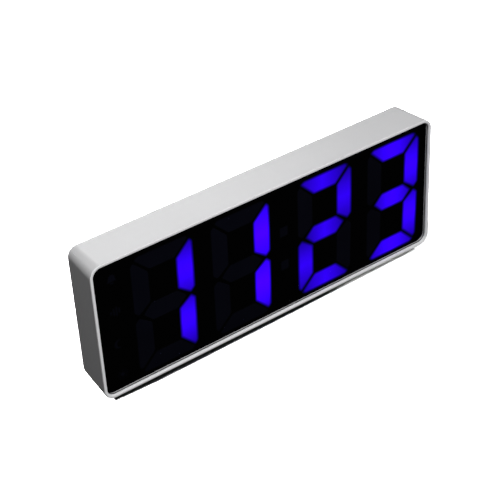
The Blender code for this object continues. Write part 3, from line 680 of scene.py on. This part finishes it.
def display_cells():
    """Every cell as (outlines, power, centre, half size).

    A lit cell has an outline for each of LIGHT_SHARES: where its halo ends, its edge, and where it is full.
    """
    cells = []
    for digit, shown in enumerate(SHOWN):
        origin_x = FIRST_DIGIT_X + digit * DIGIT_PITCH + (COLON_SPACE if digit > 1 else 0.0)
        for name, outline in segment_outlines().items():
            points = anticlockwise([slanted(point, origin_x) for point in outline])
            low, high = (Vector([end(axis) for axis in zip(*points)]) for end in (min, max))
            centre, half = (low + high) / 2, (high - low) / 2
            outlines = [softened(points, SEGMENT_CORNER)]
            power = 0.0
            if name in shown:
                outlines.insert(0, softened(shrunk(points, -HALO_WIDTH), SEGMENT_CORNER))
                outlines.append(softened(shrunk(points, GLOW_EDGE), SEGMENT_CORNER / 2))
                power = DIGIT_POWERS[digit]
                centre += half * LAMP_OFFSETS.get(name, 0.0)
            cells.append((outlines, power, centre, half))
    for height in COLON_HEIGHTS:
        outline = rounded_rectangle(*COLON_HALF, 0.5, 3, (COLON_X, height))
        cells.append(([outline], 0.0, (COLON_X, height), COLON_HALF))
    for outline in icon_outlines():
        cells.append(([anticlockwise(outline)], 0.0, outline[0], (1.0, 1.0)))
    return cells


def icon_outlines():
    """Four faint generic signs: a bell, a row of bars, a moon and a sun, from the top down."""
    x = ICON_X
    sun_height, moon_height, bars_height, bell_height = ICON_HEIGHTS
    bell = mirrored([(-2.1, -1.3), (-1.6, -0.7), (-1.4, 0.9), (-0.6, 1.8)])
    outlines = [
        [(x + px, bell_height + 0.3 + pz) for px, pz in bell],
        rounded_rectangle(0.7, 0.35, 0.3, 3, (x, bell_height - 1.75)),
    ]
    for index, half in enumerate((0.8, 1.7, 2.2, 1.2)):
        outlines.append(rounded_rectangle(0.35, half, 0.3, 2, (x + (index - 1.5) * 1.2, bars_height)))
    moon = arc((x, moon_height), 2.1, 60, 20, range(13))
    moon += arc((x + 0.9, moon_height), 1.75, 290, -220 / 12, range(1, 12))
    outlines += [moon, circle((x, sun_height), 1.0, 16)]
    for step in range(8):
        angle = math.tau * step / 8
        ray = []
        for along, across in ((1.5, -0.2), (2.3, -0.2), (2.3, 0.2), (1.5, 0.2)):
            out = along * math.cos(angle) - across * math.sin(angle)
            ray.append((x + out, sun_height + along * math.sin(angle) + across * math.cos(angle)))
        outlines.append(ray)
    return outlines


def panel_face(shape, edge, cells):
    """Fills the panel's front with one flat face, divided along the cells' outlines.

    Returns each face's cell, and each point's share of its cell's full light.
    """
    loops, points, cell_of_loop, share_of_point = [], [], [], []
    for index, outlines in enumerate([[edge]] + [cell[0] for cell in cells]):
        for share, outline in zip(LIGHT_SHARES, outlines):
            loops.append(list(range(len(points), len(points) + len(outline))))
            points += [Vector(point) for point in outline]
            cell_of_loop.append(index - 1)
            share_of_point += [share] * len(outline)
    found = delaunay_2d_cdt(points, [], loops, 1, 1e-5)
    coords, faces, sources, owners = found[0], found[2], found[3], found[5]
    verts = [shape.verts.new(place(point.x, PANEL_FRONT, point.y)) for point in coords]
    shares = {}
    for vert, source in zip(verts, sources):
        shares[vert] = max((share_of_point[index] for index in source), default=0.0)
    owned = {}
    for face, owner in zip(faces, owners):
        made = shape.faces.new([verts[index] for index in face])
        owned[made] = max(cell_of_loop[index] for index in owner)
    return owned, shares


def build_panel():
    """One slab with polished edges, and a front that is split along the display's cells."""
    cells = display_cells()
    radius = CORNER_RADIUS - RIM_WIDTH - GAP
    polish = 0.1
    shape = bmesh.new()
    half_x, half_z = PANEL_HALF
    outlines = []
    for angle in fillet_steps(3):
        inset = polish * (1 - math.sin(angle))
        outline = rounded_rectangle(half_x - inset, half_z - inset, radius - inset, 12)
        outlines.append((outline, PANEL_FRONT + polish * (1 - math.cos(angle))))
    outlines.append((outlines[-1][0], PANEL_BACK))
    owned, shares = panel_face(shape, outlines[0][0], cells)
    rings = [[shape.verts.new(place(x, depth, z)) for x, z in outline] for outline, depth in outlines]
    skin(shape, rings)
    shape.faces.new(rings[-1])
    glow = shape.loops.layers.uv.new("glow")
    powers = shape.loops.layers.uv.new("power")
    for face, index in owned.items():
        if index < 0:
            continue
        _, power, centre, half = cells[index]
        face.material_index = 1 if power else 2
        for loop in face.loops:
            across = (loop.vert.co.x - centre[0]) / half[0]
            up = (loop.vert.co.z - ORIGIN.z - centre[1]) / half[1]
            along = up if half[1] > half[0] else across
            loop[glow].uv = (along, shares[loop.vert])
            loop[powers].uv = (power, 0.0)
    bmesh.ops.remove_doubles(shape, verts=shape.verts, dist=1e-4)
    black = panel_surface("panel_black", PANEL_BLACK).material
    lit = lit_surface("panel_lit_cell")
    unlit = panel_surface("panel_unlit_cell", GHOST_GREY).material
    panel = make_object("display_panel", shape, black, lit, unlit)
    finish_piece(panel, "smoked_panel", "front_panel", smooth_angle=30)


def build_adhesive():
    """The black tape behind the panel's edge, and a black rim of it that fills the gap round the panel up to
    the panel's front and shows there as a dark seam.
    """
    front, back = node_depths("panel_adhesive")
    wall = RIM_WIDTH + 0.02
    edge = RIM_WIDTH + GAP - 0.02
    sections = ((wall, back), (wall, PANEL_FRONT - 0.2), (edge, PANEL_FRONT + 0.05), (edge, front))
    rings = [ring_at(inset_outline(inset, inset, CORNER_RADIUS - inset), depth) for inset, depth in sections]
    opening = inset_outline(*TAPE_OPENING_INSET, 1.8)
    rings += [ring_at(opening, front), ring_at(opening, back)]
    black = matte_rubber("black_foam_tape", (0.008,) * 3)
    tape = make_object("panel_tape", loft(rings, closed_loop=True), black)
    finish_piece(tape, "black_tape", "panel_adhesive")


# ---- rear


def bump_rings():
    sections = [(-BUMP_FOOT, PLATE_FRONT + 0.6)]
    for angle in fillet_steps(5):
        sections.append((-BUMP_FOOT * (1 - math.sin(angle)), DEPTH + BUMP_FOOT * (1 - math.cos(angle))))
    for angle in fillet_steps():
        inset = 0.15 + BUMP_FILLET * (1 - math.cos(angle))
        sections.append((inset, TOTAL_DEPTH - BUMP_FILLET * (1 - math.sin(angle))))
    rings = []
    for inset, depth in sections:
        outline = rounded_rectangle(BUMP_HALF[0] - inset, BUMP_HALF[1] - inset, BUMP_RADIUS - inset)
        rings.append(ring_at(outline, depth))
    return rings


def centred_slab(half, radius, front, back, steps=4):
    return slab(rounded_rectangle(*half, radius, steps), front, back)


def vent_slots():
    """The slots behind the buzzer and the thermistor."""
    slots = []
    for name, count, pitch, half_length, half_width in VENTS:
        x, height = node_centre(name)
        for index in range(count):
            centre = (x, height + (index - (count - 1) / 2) * pitch)
            slots.append(rounded_rectangle(half_length, half_width, half_width - 0.01, 6, centre))
    return slots


def row_height(row):
    return MIDDLE + (row - 1) * BATTERY_ROW_PITCH


def tab_slots():
    """Slots in the bay's end walls, which the first and last contact's tabs pass through."""
    slots = []
    for side, row in ((-1, 0), (1, 2)):
        x_span = sorted((side * (BAY_HALF[0] - 0.5), side * (BAY_HALF[0] + BAY_WALL + 0.5)))
        height_span = (row_height(row) - TAB_HALF_WIDTH, row_height(row) + TAB_HALF_WIDTH)
        slots.append(block(x_span, TAB_SPAN, height_span))
    return slots


def polarity_marks():
    """Raised plus and minus signs on the bay's floor, for each cell."""
    long, short = 1.6, 0.3
    plus = [(long, -short), (long, short), (short, short), (short, long), (-short, long), (-short, short)]
    plus += [(-x, -z) for x, z in plus]
    minus = [(-long, -short), (long, -short), (long, short), (-long, short)]
    marks = []
    for row in range(3):
        side = 1 if row != 1 else -1
        for sign, x in ((plus, side * MARK_X), (minus, -side * MARK_X)):
            outline = [(x + px, row_height(row) + pz) for px, pz in sign]
            marks.append(slab(outline, BAY_FLOOR - 0.3, BAY_FLOOR + 0.12))
    return merged(marks)


def build_rear_cover():
    white = moulded_plastic("white_cover_plastic", (0.76, 0.76, 0.77), 0.5, 0.35, 0.45, 0.015)
    outline = rounded_rectangle(*COVER_HALF, 2.2, 8)
    cover = make_object("rear_cover_moulding", slab(outline, PLATE_FRONT, DEPTH), white)
    join(cover, loft(bump_rings()))
    hollow = (BUMP_HALF[0] - WALL, BUMP_HALF[1] - WALL)
    cut(cover, centred_slab(hollow, 2.2, PLATE_FRONT - 1, HOLLOW_BACK))
    bay_outside = (BAY_HALF[0] + BAY_WALL, BAY_HALF[1] + BAY_WALL)
    join(cover, centred_slab(bay_outside, 1.6, BAY_FLOOR - BAY_WALL, HOLLOW_BACK + 0.6))
    notch_top = MIDDLE - REBATE_HALF[1] + 0.5
    notch_centre = (0.0, notch_top - NOTCH_HEIGHT / 2)
    notch = rounded_rectangle(NOTCH_HALF_WIDTH, NOTCH_HEIGHT / 2, 1.2, 5, notch_centre)
    cut(
        cover,
        centred_slab(BAY_HALF, 0.8, BAY_FLOOR, TOTAL_DEPTH + 1),
        centred_slab(REBATE_HALF, 0.3, REBATE_FLOOR, TOTAL_DEPTH + 1, 2),
        slab(notch, TOTAL_DEPTH - NOTCH_DEPTH, TOTAL_DEPTH + 1),
    )
    pins = []
    for side in (-1, 1):
        ends = sorted((side * (REBATE_HALF[0] - 0.5), side * (REBATE_HALF[0] + HINGE_PIN_LENGTH + GAP)))
        pins.append(rod_along_x([(x, HINGE_PIN_RADIUS + GAP) for x in ends], HINGE_DEPTH, HINGE_HEIGHT))
    cut(cover, merged(pins), merged(tab_slots()))
    join(cover, polarity_marks())

    join(cover, merged(screw_pegs(SCREW_PAD_RADIUS, SCREW_PAD_FRONT, PLATE_FRONT + 0.5, 24)))
    cut(cover, merged(screw_pegs(SCREW_HOLE_RADIUS, SCREW_PAD_FRONT - 1, SCREW_SEAT + 0.1, 20)))
    through = (PLATE_FRONT - 1, DEPTH + 1)
    holes = screw_pegs(SCREW_BORE_RADIUS, SCREW_SEAT, DEPTH + 1, 32)
    holes += [peg(node_centre(f"{name}_button"), BUTTON_HOLE_RADIUS, *through) for name in BUTTONS]
    usb_half = [half + 0.4 for half in node_half("usb_socket")]
    holes.append(slab(rounded_rectangle(*usb_half, 1.0, 6, node_centre("usb_socket")), *through))
    holes += [slab(slot, *through) for slot in vent_slots()]
    cut(cover, merged(holes))
    round_edges(cover, 0.16, 2)
    finish_piece(cover, "white_cover", "rear_cover")


def build_battery_door():
    white = bpy.data.materials["white_cover_plastic"]
    half_x = (door_high.x - door_low.x) / 2 - HINGE_PIN_LENGTH
    bottom = door_low.z
    front, back = door_low.y, door_high.y
    round_top = arc((HINGE_DEPTH, HINGE_HEIGHT), DOOR_RADIUS, 180, -180 / 16, range(17))
    section = [(front, bottom), *round_top, (back, bottom)]
    rings = [[(x, depth, height) for depth, height in section] for x in (-half_x, half_x)]
    door = make_object("battery_door_moulding", loft(rings), white)
    arrow_low = bottom + 9.0
    arrow = [(-2.6, arrow_low), (2.6, arrow_low), (0.0, arrow_low + 2.2)]
    cuts = [slab(arrow, back - 0.2, back + 1)]
    for index in range(5):
        outline = rounded_rectangle(8.0, 0.4, 0.39, 5, (0.0, bottom + 2.4 + index * 1.35))
        cuts.append(slab(outline, back - 0.4, back + 1))
    cut(door, merged(cuts))
    round_edges(door, 0.14, 2)
    reach = half_x + HINGE_PIN_LENGTH
    pins = []
    for side in (-1, 1):
        ends = [(side * (half_x - 0.8), HINGE_PIN_RADIUS), (side * (reach - 0.12), HINGE_PIN_RADIUS)]
        ends.append((side * reach, HINGE_PIN_RADIUS - 0.12))
        pins.append(rod_along_x(ends, HINGE_DEPTH, HINGE_HEIGHT))
    join(door, merged(pins))
    finish_piece(door, "white_cover", "battery_door", body="battery_door")


def build_buttons():
    white = moulded_plastic("white_button_plastic", (0.72, 0.72, 0.735), 0.38, 0.12, 0.3)
    for name in BUTTONS:
        node = f"{name}_button"
        bottom, top = node_depths(node)
        profile = rounded_profile([
            (1.6, bottom, 0),
            (1.6, FLANGE_SPAN[0], 0),
            (3.8, FLANGE_SPAN[0], 0.15),
            (3.8, FLANGE_SPAN[1], 0.15),
            (3.0, FLANGE_SPAN[1], 0),
            (3.0, top, 0.35),
            (2.2, top, 0),
        ])
        for step in range(1, 6):
            share = step / 6
            profile.append((2.2 * (1 - share), top - 0.16 * math.sin(share * math.pi / 2)))
        profile.append((0.05, top - 0.16))
        cap = make_object(f"{name}_button_cap", turned(node_centre(node), profile, 48), white)
        finish_piece(cap, "white_button", node, body=node)


def button_signs():
    """Flat outlines for the signs beside the buttons: bars, bell, dial, up and down arrows."""
    bell = mirrored([(-1.4, -0.9), (-1.0, -0.4), (-0.9, 0.6), (-0.4, 1.2)])
    hands = [(-0.13, 0.13, -0.13, 0.85), (0.14, 0.7, -0.13, 0.13)]
    return {
        "mode": [rounded_rectangle(1.3, 0.2, 0.15, 3, (0.0, z)) for z in (-0.9, 0.0, 0.9)],
        "alarm": [bell, rounded_rectangle(0.45, 0.2, 0.18, 3, (0.0, -1.25))],
        "set": [[(x0, z0), (x1, z0), (x1, z1), (x0, z1)] for x0, x1, z0, z1 in hands],
        "up": [[(-1.3, -0.8), (1.3, -0.8), (0.0, 1.2)]],
        "down": [[(-1.3, 0.8), (0.0, -1.2), (1.3, 0.8)]],
    }


def build_signs():
    """Pad-printed signs on the cover, mirrored in x because they are read from behind."""
    n = Nodes("grey_print")
    n.tone(900.0, (0.1, 0.1, 0.105), (0.14, 0.14, 0.145))
    n.gloss(n.noise(500.0), 0.45, 0.6)
    span = (DEPTH - 0.02, DEPTH + 0.025)
    for name, outlines in button_signs().items():
        centre_x, centre_height = node_centre(f"{name}_button")
        centre_height -= 6.4
        shapes = []
        for outline in outlines:
            shapes.append(slab([(centre_x - x, centre_height + z) for x, z in outline], *span))
        if name == "set":
            inner, outer = (circle((centre_x, centre_height), radius, 32) for radius in (1.1, 1.4))
            sides = ((inner, span[0]), (inner, span[1]), (outer, span[1]), (outer, span[0]))
            shapes.append(loft([ring_at(*side) for side in sides], closed_loop=True))
        sign = make_object(f"{name}_sign", merged(shapes), n.material)
        finish_piece(sign, "chip")


def build_screws():
    steel = plain_metal("zinc_screw", (0.62, 0.62, 0.63), 0.28)
    for index, centre in enumerate(SCREW_PLACES, 1):
        tip, top = node_depths(f"case_screw_{index}")
        seat = top - 1.3
        profile = rounded_profile([
            (0.3, tip, 0),
            (0.85, tip + 0.8, 0),
            (0.85, seat, 0),
            (1.9, seat, 0.1),
            (1.9, seat + 0.6, 0.3),
            (1.2, top - 0.06, 0.3),
            (0.1, top, 0),
        ])
        screw = make_object(f"rear_screw_{index}", turned(centre, profile), steel)
        cross = []
        for half_x, half_z in ((0.28, 1.15), (1.15, 0.28)):
            wide = rounded_rectangle(half_x, half_z, 0.08, 2, centre)
            narrow = rounded_rectangle(half_x * 0.7, half_z * 0.7, 0.05, 2, centre)
            cross.append(loft([ring_at(narrow, top - 0.85), ring_at(wide, top), ring_at(wide, top + 0.5)]))
        cut(screw, *cross)
        round_edges(screw, 0.04, 1, 50)
        finish_piece(screw, "screw_steel", f"case_screw_{index}")


def build_feet():
    rubber = matte_rubber("black_foot_rubber", (0.012, 0.012, 0.013))
    slope = DRAFT_TOP / (DEPTH - REAR_FILLET)
    ground = -ORIGIN.z
    for index in range(1, 5):
        low, high = node_box(f"foot_{index}")
        centre = ((low.x + high.x) / 2, (low.y + high.y) / 2)
        radius = (high.x - low.x) / 2
        rings = []
        for inset, height in ((0.35, ground), (0.1, ground + 0.1), (0.0, ground + 0.35)):
            rings.append([(x, depth, height) for x, depth in circle(centre, radius - inset)])
        rings.append([(x, depth, slope * depth - 0.02) for x, depth in circle(centre, radius)])
        foot = make_object(f"rubber_foot_{index}", loft(rings), rubber)
        finish_piece(foot, "rubber", f"foot_{index}")


def build_usb_socket():
    steel = plain_metal("socket_steel", (0.68, 0.68, 0.69), 0.25)
    x, height = node_centre("usb_socket")
    half_x, half_z = node_half("usb_socket")
    base, mouth = node_depths("usb_socket")
    floor = base + 1.2
    sections = [(0.0, 1.0, base), (0.0, 1.0, mouth - 0.1), (0.1, 1.0, mouth)]
    sections += [(0.2, 0.98, mouth), (0.3, 0.95, mouth - 0.1), (0.3, 0.95, floor)]
    rings = []
    for inset, chamfer, depth in sections:
        right, top = half_x - inset, half_z - inset
        corners = mirrored([(-right, top), (-right, chamfer - top), (chamfer - right, -top)])
        rings.append([(x + px, depth, height + pz) for px, pz in softened(corners, 0.35)])
    socket = make_object("usb_socket_shell", loft(rings), steel)
    finish_piece(socket, "bright_metal", "usb_socket")
    black = moulded_plastic("socket_tongue_nylon", (0.02,) * 3, 0.5)
    tongue = block((x - 2.6, x + 2.6), (floor - 0.1, mouth - 0.8), (height + 0.05, height + 0.6))
    tongue = make_object("usb_socket_tongue", tongue, black)
    round_edges(tongue, 0.08, 2)
    finish_piece(tongue, "chip")
    gold = plain_metal("socket_gold", (0.83, 0.62, 0.3), 0.25)
    pads = []
    for index in range(5):
        pad_x = x + (index - 2) * 0.9
        pads.append(block((pad_x - 0.16, pad_x + 0.16), (floor, mouth - 1.1), (height - 0.02, height + 0.06)))
    finish_piece(make_object("usb_socket_contacts", merged(pads), gold), "bright_metal")


# ---- batteries and contacts


def build_batteries():
    sleeve = Nodes("cell_sleeve")
    sleeve.tone(70.0, (0.02, 0.021, 0.024), (0.03, 0.031, 0.035))
    sleeve.gloss(sleeve.noise(350.0), 0.24, 0.34)
    sleeve.bump(sleeve.noise(120.0, 2.0), 0.025, 0.05)
    band = Nodes("cell_band")
    band.set(Metallic=0.85)
    band.tone(70.0, (0.42, 0.22, 0.08), (0.5, 0.27, 0.1))
    band.gloss(band.noise(350.0), 0.26, 0.36)
    steel = plain_metal("cell_steel", (0.7,) * 3, 0.26)
    for row in range(3):
        node = f"battery_{row + 1}"
        low, high = node_box(node)
        radius = (high.z - low.z) / 2
        _, depth, height = (low + high) / 2
        side = 1 if row != 1 else -1
        start, end = (low.x, high.x) if side > 0 else (high.x, low.x)
        nub = end - side * 0.8
        profile = [
            (start + side * 0.25, 2.6, 2),
            (start + side * 0.05, 3.4, 2),
            (start, 4.2, 2),
            (start, radius - 0.55, 0),
            (start + side * 0.1, radius - 0.2, 0),
            (start + side * 0.4, radius, 0),
            (nub - side * 12.0, radius, 1),
            (nub - side * 0.4, radius, 1),
            (nub - side * 0.1, radius - 0.2, 1),
            (nub, radius - 0.55, 2),
            (nub - side * 0.25, radius - 0.9, 2),
            (nub - side * 0.2, 2.3, 2),
            (nub, 1.95, 2),
            (end - side * 0.2, 1.9, 2),
            (end, 1.7, 2),
        ]
        steps = 56
        shape = rod_along_x([(x, r) for x, r, _ in profile], depth, height, steps)
        cell = make_object(f"cell_{row + 1}", shape, sleeve.material, band.material, steel)
        for index, polygon in enumerate(cell.data.polygons):
            strip = index // steps
            polygon.material_index = profile[strip][2] if strip < len(profile) - 1 else 2
        finish_piece(cell, "battery", node)


def coil_points(x_start, x_end, depth, height, side):
    """The middle line of a conical spring, with its end turns closed up."""
    points = []
    count = COIL_TURNS * 18
    for share in (step / count for step in range(count + 1)):
        eased = min(1.0, max(0.0, (share - 0.12) / 0.76))
        x = x_start + (x_end - x_start) * eased
        radius = COIL_RADII[0] + (COIL_RADII[1] - COIL_RADII[0]) * share
        angle = math.tau * COIL_TURNS * share
        points.append((x, depth + radius * math.cos(angle), height + side * radius * math.sin(angle)))
    return points


def build_contacts():
    nickel = plain_metal("nickel_contact", (0.72, 0.69, 0.63), 0.24)
    depth = sum(node_depths("battery_1")) / 2
    plate_half = 4.0
    for name, side, rows, spring_row in (
        ("contact_negative", -1, (0,), 0),
        ("contact_link_left", -1, (1, 2), 2),
        ("contact_link_right", 1, (0, 1), 1),
        ("contact_positive", 1, (2,), None),
    ):
        outer, inner = side * (BAY_HALF[0] - GAP), side * (BAY_HALF[0] - GAP - 0.4)
        low, high = row_height(rows[0]) - plate_half, row_height(rows[-1]) + plate_half
        middle = (low + high) / 2
        rings = []
        for x in (outer, inner):
            outline = rounded_rectangle(plate_half, (high - low) / 2, 0.8, 4, (depth, middle))
            rings.append([(x, across, height) for across, height in outline])
        shapes = [loft(rings)]
        for row in rows:
            if row == spring_row:
                start, end = inner + side * 0.1, inner - side * 2.95
                shapes.append(tube(coil_points(start, end, depth, row_height(row), side), 0.25))
            else:
                dimple = [(inner + side * 0.1, 2.4), (inner - side * 0.1, 1.6)]
                shapes.append(rod_along_x(dimple, depth, row_height(row)))
        if len(rows) == 1:
            x_span = sorted((inner, node_box(name)[0 if side < 0 else 1].x))
            height = row_height(rows[0])
            shapes.append(block(x_span, (13.2, 13.6), (height - 1, height + 1)))
        contact = make_object(f"{name}_spring", merged(shapes), nickel)
        finish_piece(contact, "bright_metal", name)


# ---- inner nodes


def dress_inner_nodes():
    """Gives every node that stays its own finish."""
    black_matte = moulded_plastic("reflector_black", (0.015, 0.015, 0.016), 0.55, 0.3, 0.4)
    chip = moulded_plastic("chip_epoxy", (0.02, 0.02, 0.021), 0.5, 0.4, 0.15)
    metal = plain_metal("tin_plate", (0.66, 0.66, 0.64), 0.3)
    film = moulded_plastic("diffuser_film_white", (0.72, 0.72, 0.74), 0.55, 0.1, 0.2)
    finishes = {
        "segment_reflector": black_matte,
        "diffuser_sheet": film,
        "main_board": circuit_board("green_board"),
        "microcontroller": chip,
        "display_driver": chip,
        "buzzer": chip,
        "thermistor": moulded_plastic("thermistor_bead", (0.02, 0.02, 0.035), 0.3, 0.05, 0.3),
        "crystal": metal,
        "capacitor": metal,
        "wire_negative": moulded_plastic("black_wire_pvc", (0.015,) * 3, 0.4, 0.1, 0.4),
        "wire_positive": moulded_plastic("red_wire_pvc", (0.45, 0.02, 0.015), 0.4, 0.1, 0.4),
    }
    for name in BUTTONS:
        finishes[f"{name}_switch"] = chip
        finishes[f"{name}_plunger"] = chip
    for index in range(1, 5):
        finishes[f"board_screw_{index}"] = bpy.data.materials["zinc_screw"]
    for name, material in finishes.items():
        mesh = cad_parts[name].data
        mesh.materials.clear()
        mesh.materials.append(material)


# ---- stage


def build_world():
    """White to the camera; dim from above and black from below for everything else."""
    world = bpy.data.worlds.new("studio")
    world.use_nodes = True
    bpy.context.scene.world = world
    tree = world.node_tree
    tree.nodes.clear()
    kinds = "OutputWorld MixShader LightPath Background Background TexCoord SeparateXYZ MapRange"
    made = [tree.nodes.new(f"ShaderNode{kind}") for kind in kinds.split()]
    output, mix, path, seen, room, coordinates, split, height = made
    for background in (seen, room):
        background.inputs["Color"].default_value = (1.0, 1.0, 1.0, 1.0)
    ends = (("From Min", -0.05), ("From Max", 0.6), ("To Min", ROOM_LIGHT[0]), ("To Max", ROOM_LIGHT[1]))
    for name, value in ends:
        height.inputs[name].default_value = value
    for start, end in (
        (coordinates.outputs["Generated"], split.inputs["Vector"]),
        (split.outputs["Z"], height.inputs["Value"]),
        (height.outputs["Result"], room.inputs["Strength"]),
        (path.outputs["Is Camera Ray"], mix.inputs["Fac"]),
        (room.outputs["Background"], mix.inputs[1]),
        (seen.outputs["Background"], mix.inputs[2]),
        (mix.outputs["Shader"], output.inputs["Surface"]),
    ):
        tree.links.new(start, end)


def build_floor():
    n = Nodes("pale_floor")
    n.tone(3.0, (0.34,) * 3, (0.35,) * 3)
    n.set(Roughness=0.9)
    half = 3000.0
    corners = ((-half, -half), (half, -half), (half, half), (-half, half))
    shape = bmesh.new()
    shape.faces.new([shape.verts.new((x, y, 0.0)) for x, y in corners])
    floor = make_object("floor", shape, n.material)
    floor.visible_diffuse = False
    floor.visible_glossy = False
    return floor


def add_light(name, kind, shines, energy):
    data = bpy.data.lights.new(name, kind)
    data.energy = energy
    light = bpy.data.objects.new(name, data)
    light.rotation_euler = shines.to_track_quat("-Z", "Y").to_euler()
    bpy.context.scene.collection.objects.link(light)
    return light


def build_lights(floor):
    """Hard suns for the floor alone, so that it is dark only close under the case, and soft lights."""
    floor_only = bpy.data.collections.new("floor_only")
    floor_only.objects.link(floor)
    for name, towards, energy in FLOOR_SUNS:
        sun = add_light(name, "SUN", -Vector(towards), energy)
        sun.data.angle = math.radians(0.4)
        sun.light_linking.receiver_collection = floor_only
    all_but_floor = bpy.data.collections.new("all_but_floor")
    all_but_floor.objects.link(floor)
    all_but_floor.collection_objects[0].light_linking.link_state = "EXCLUDE"
    for name, location, size, energy in SOFT_LIGHTS:
        light = add_light(name, "AREA", Vector((0.0, 0.0, 0.03)) - Vector(location), energy)
        light.location = location
        light.data.size = size
        light.light_linking.receiver_collection = all_but_floor
        light.visible_camera = False


def build_camera():
    data = bpy.data.cameras.new("camera")
    data.lens = CAMERA_LENS
    data.sensor_width = 36.0
    data.clip_start, data.clip_end = 0.01, 20.0
    azimuth, elevation = math.radians(CAMERA_AZIMUTH), math.radians(CAMERA_ELEVATION)
    back = Vector((
        math.sin(azimuth) * math.cos(elevation),
        -math.cos(azimuth) * math.cos(elevation),
        math.sin(elevation),
    ))
    camera = bpy.data.objects.new("camera", data)
    camera.location = (Vector(CAMERA_AIM) + back * CAMERA_DISTANCE) * METRES
    level = (-back).to_track_quat("-Z", "Y").to_matrix()
    roll = Matrix.Rotation(math.radians(CAMERA_ROLL), 3, "Z")
    camera.rotation_euler = (level @ roll).to_euler()
    bpy.context.scene.collection.objects.link(camera)
    bpy.context.scene.camera = camera


def build_stage():
    build_world()
    build_lights(build_floor())
    build_camera()
    view = bpy.context.scene.view_settings
    view.view_transform = "Standard"
    view.look = "None"


build_stage()
build_case()
build_panel()
build_adhesive()
build_rear_cover()
build_battery_door()
build_buttons()
build_signs()
build_screws()
build_feet()
build_usb_socket()
build_batteries()
build_contacts()
dress_inner_nodes()
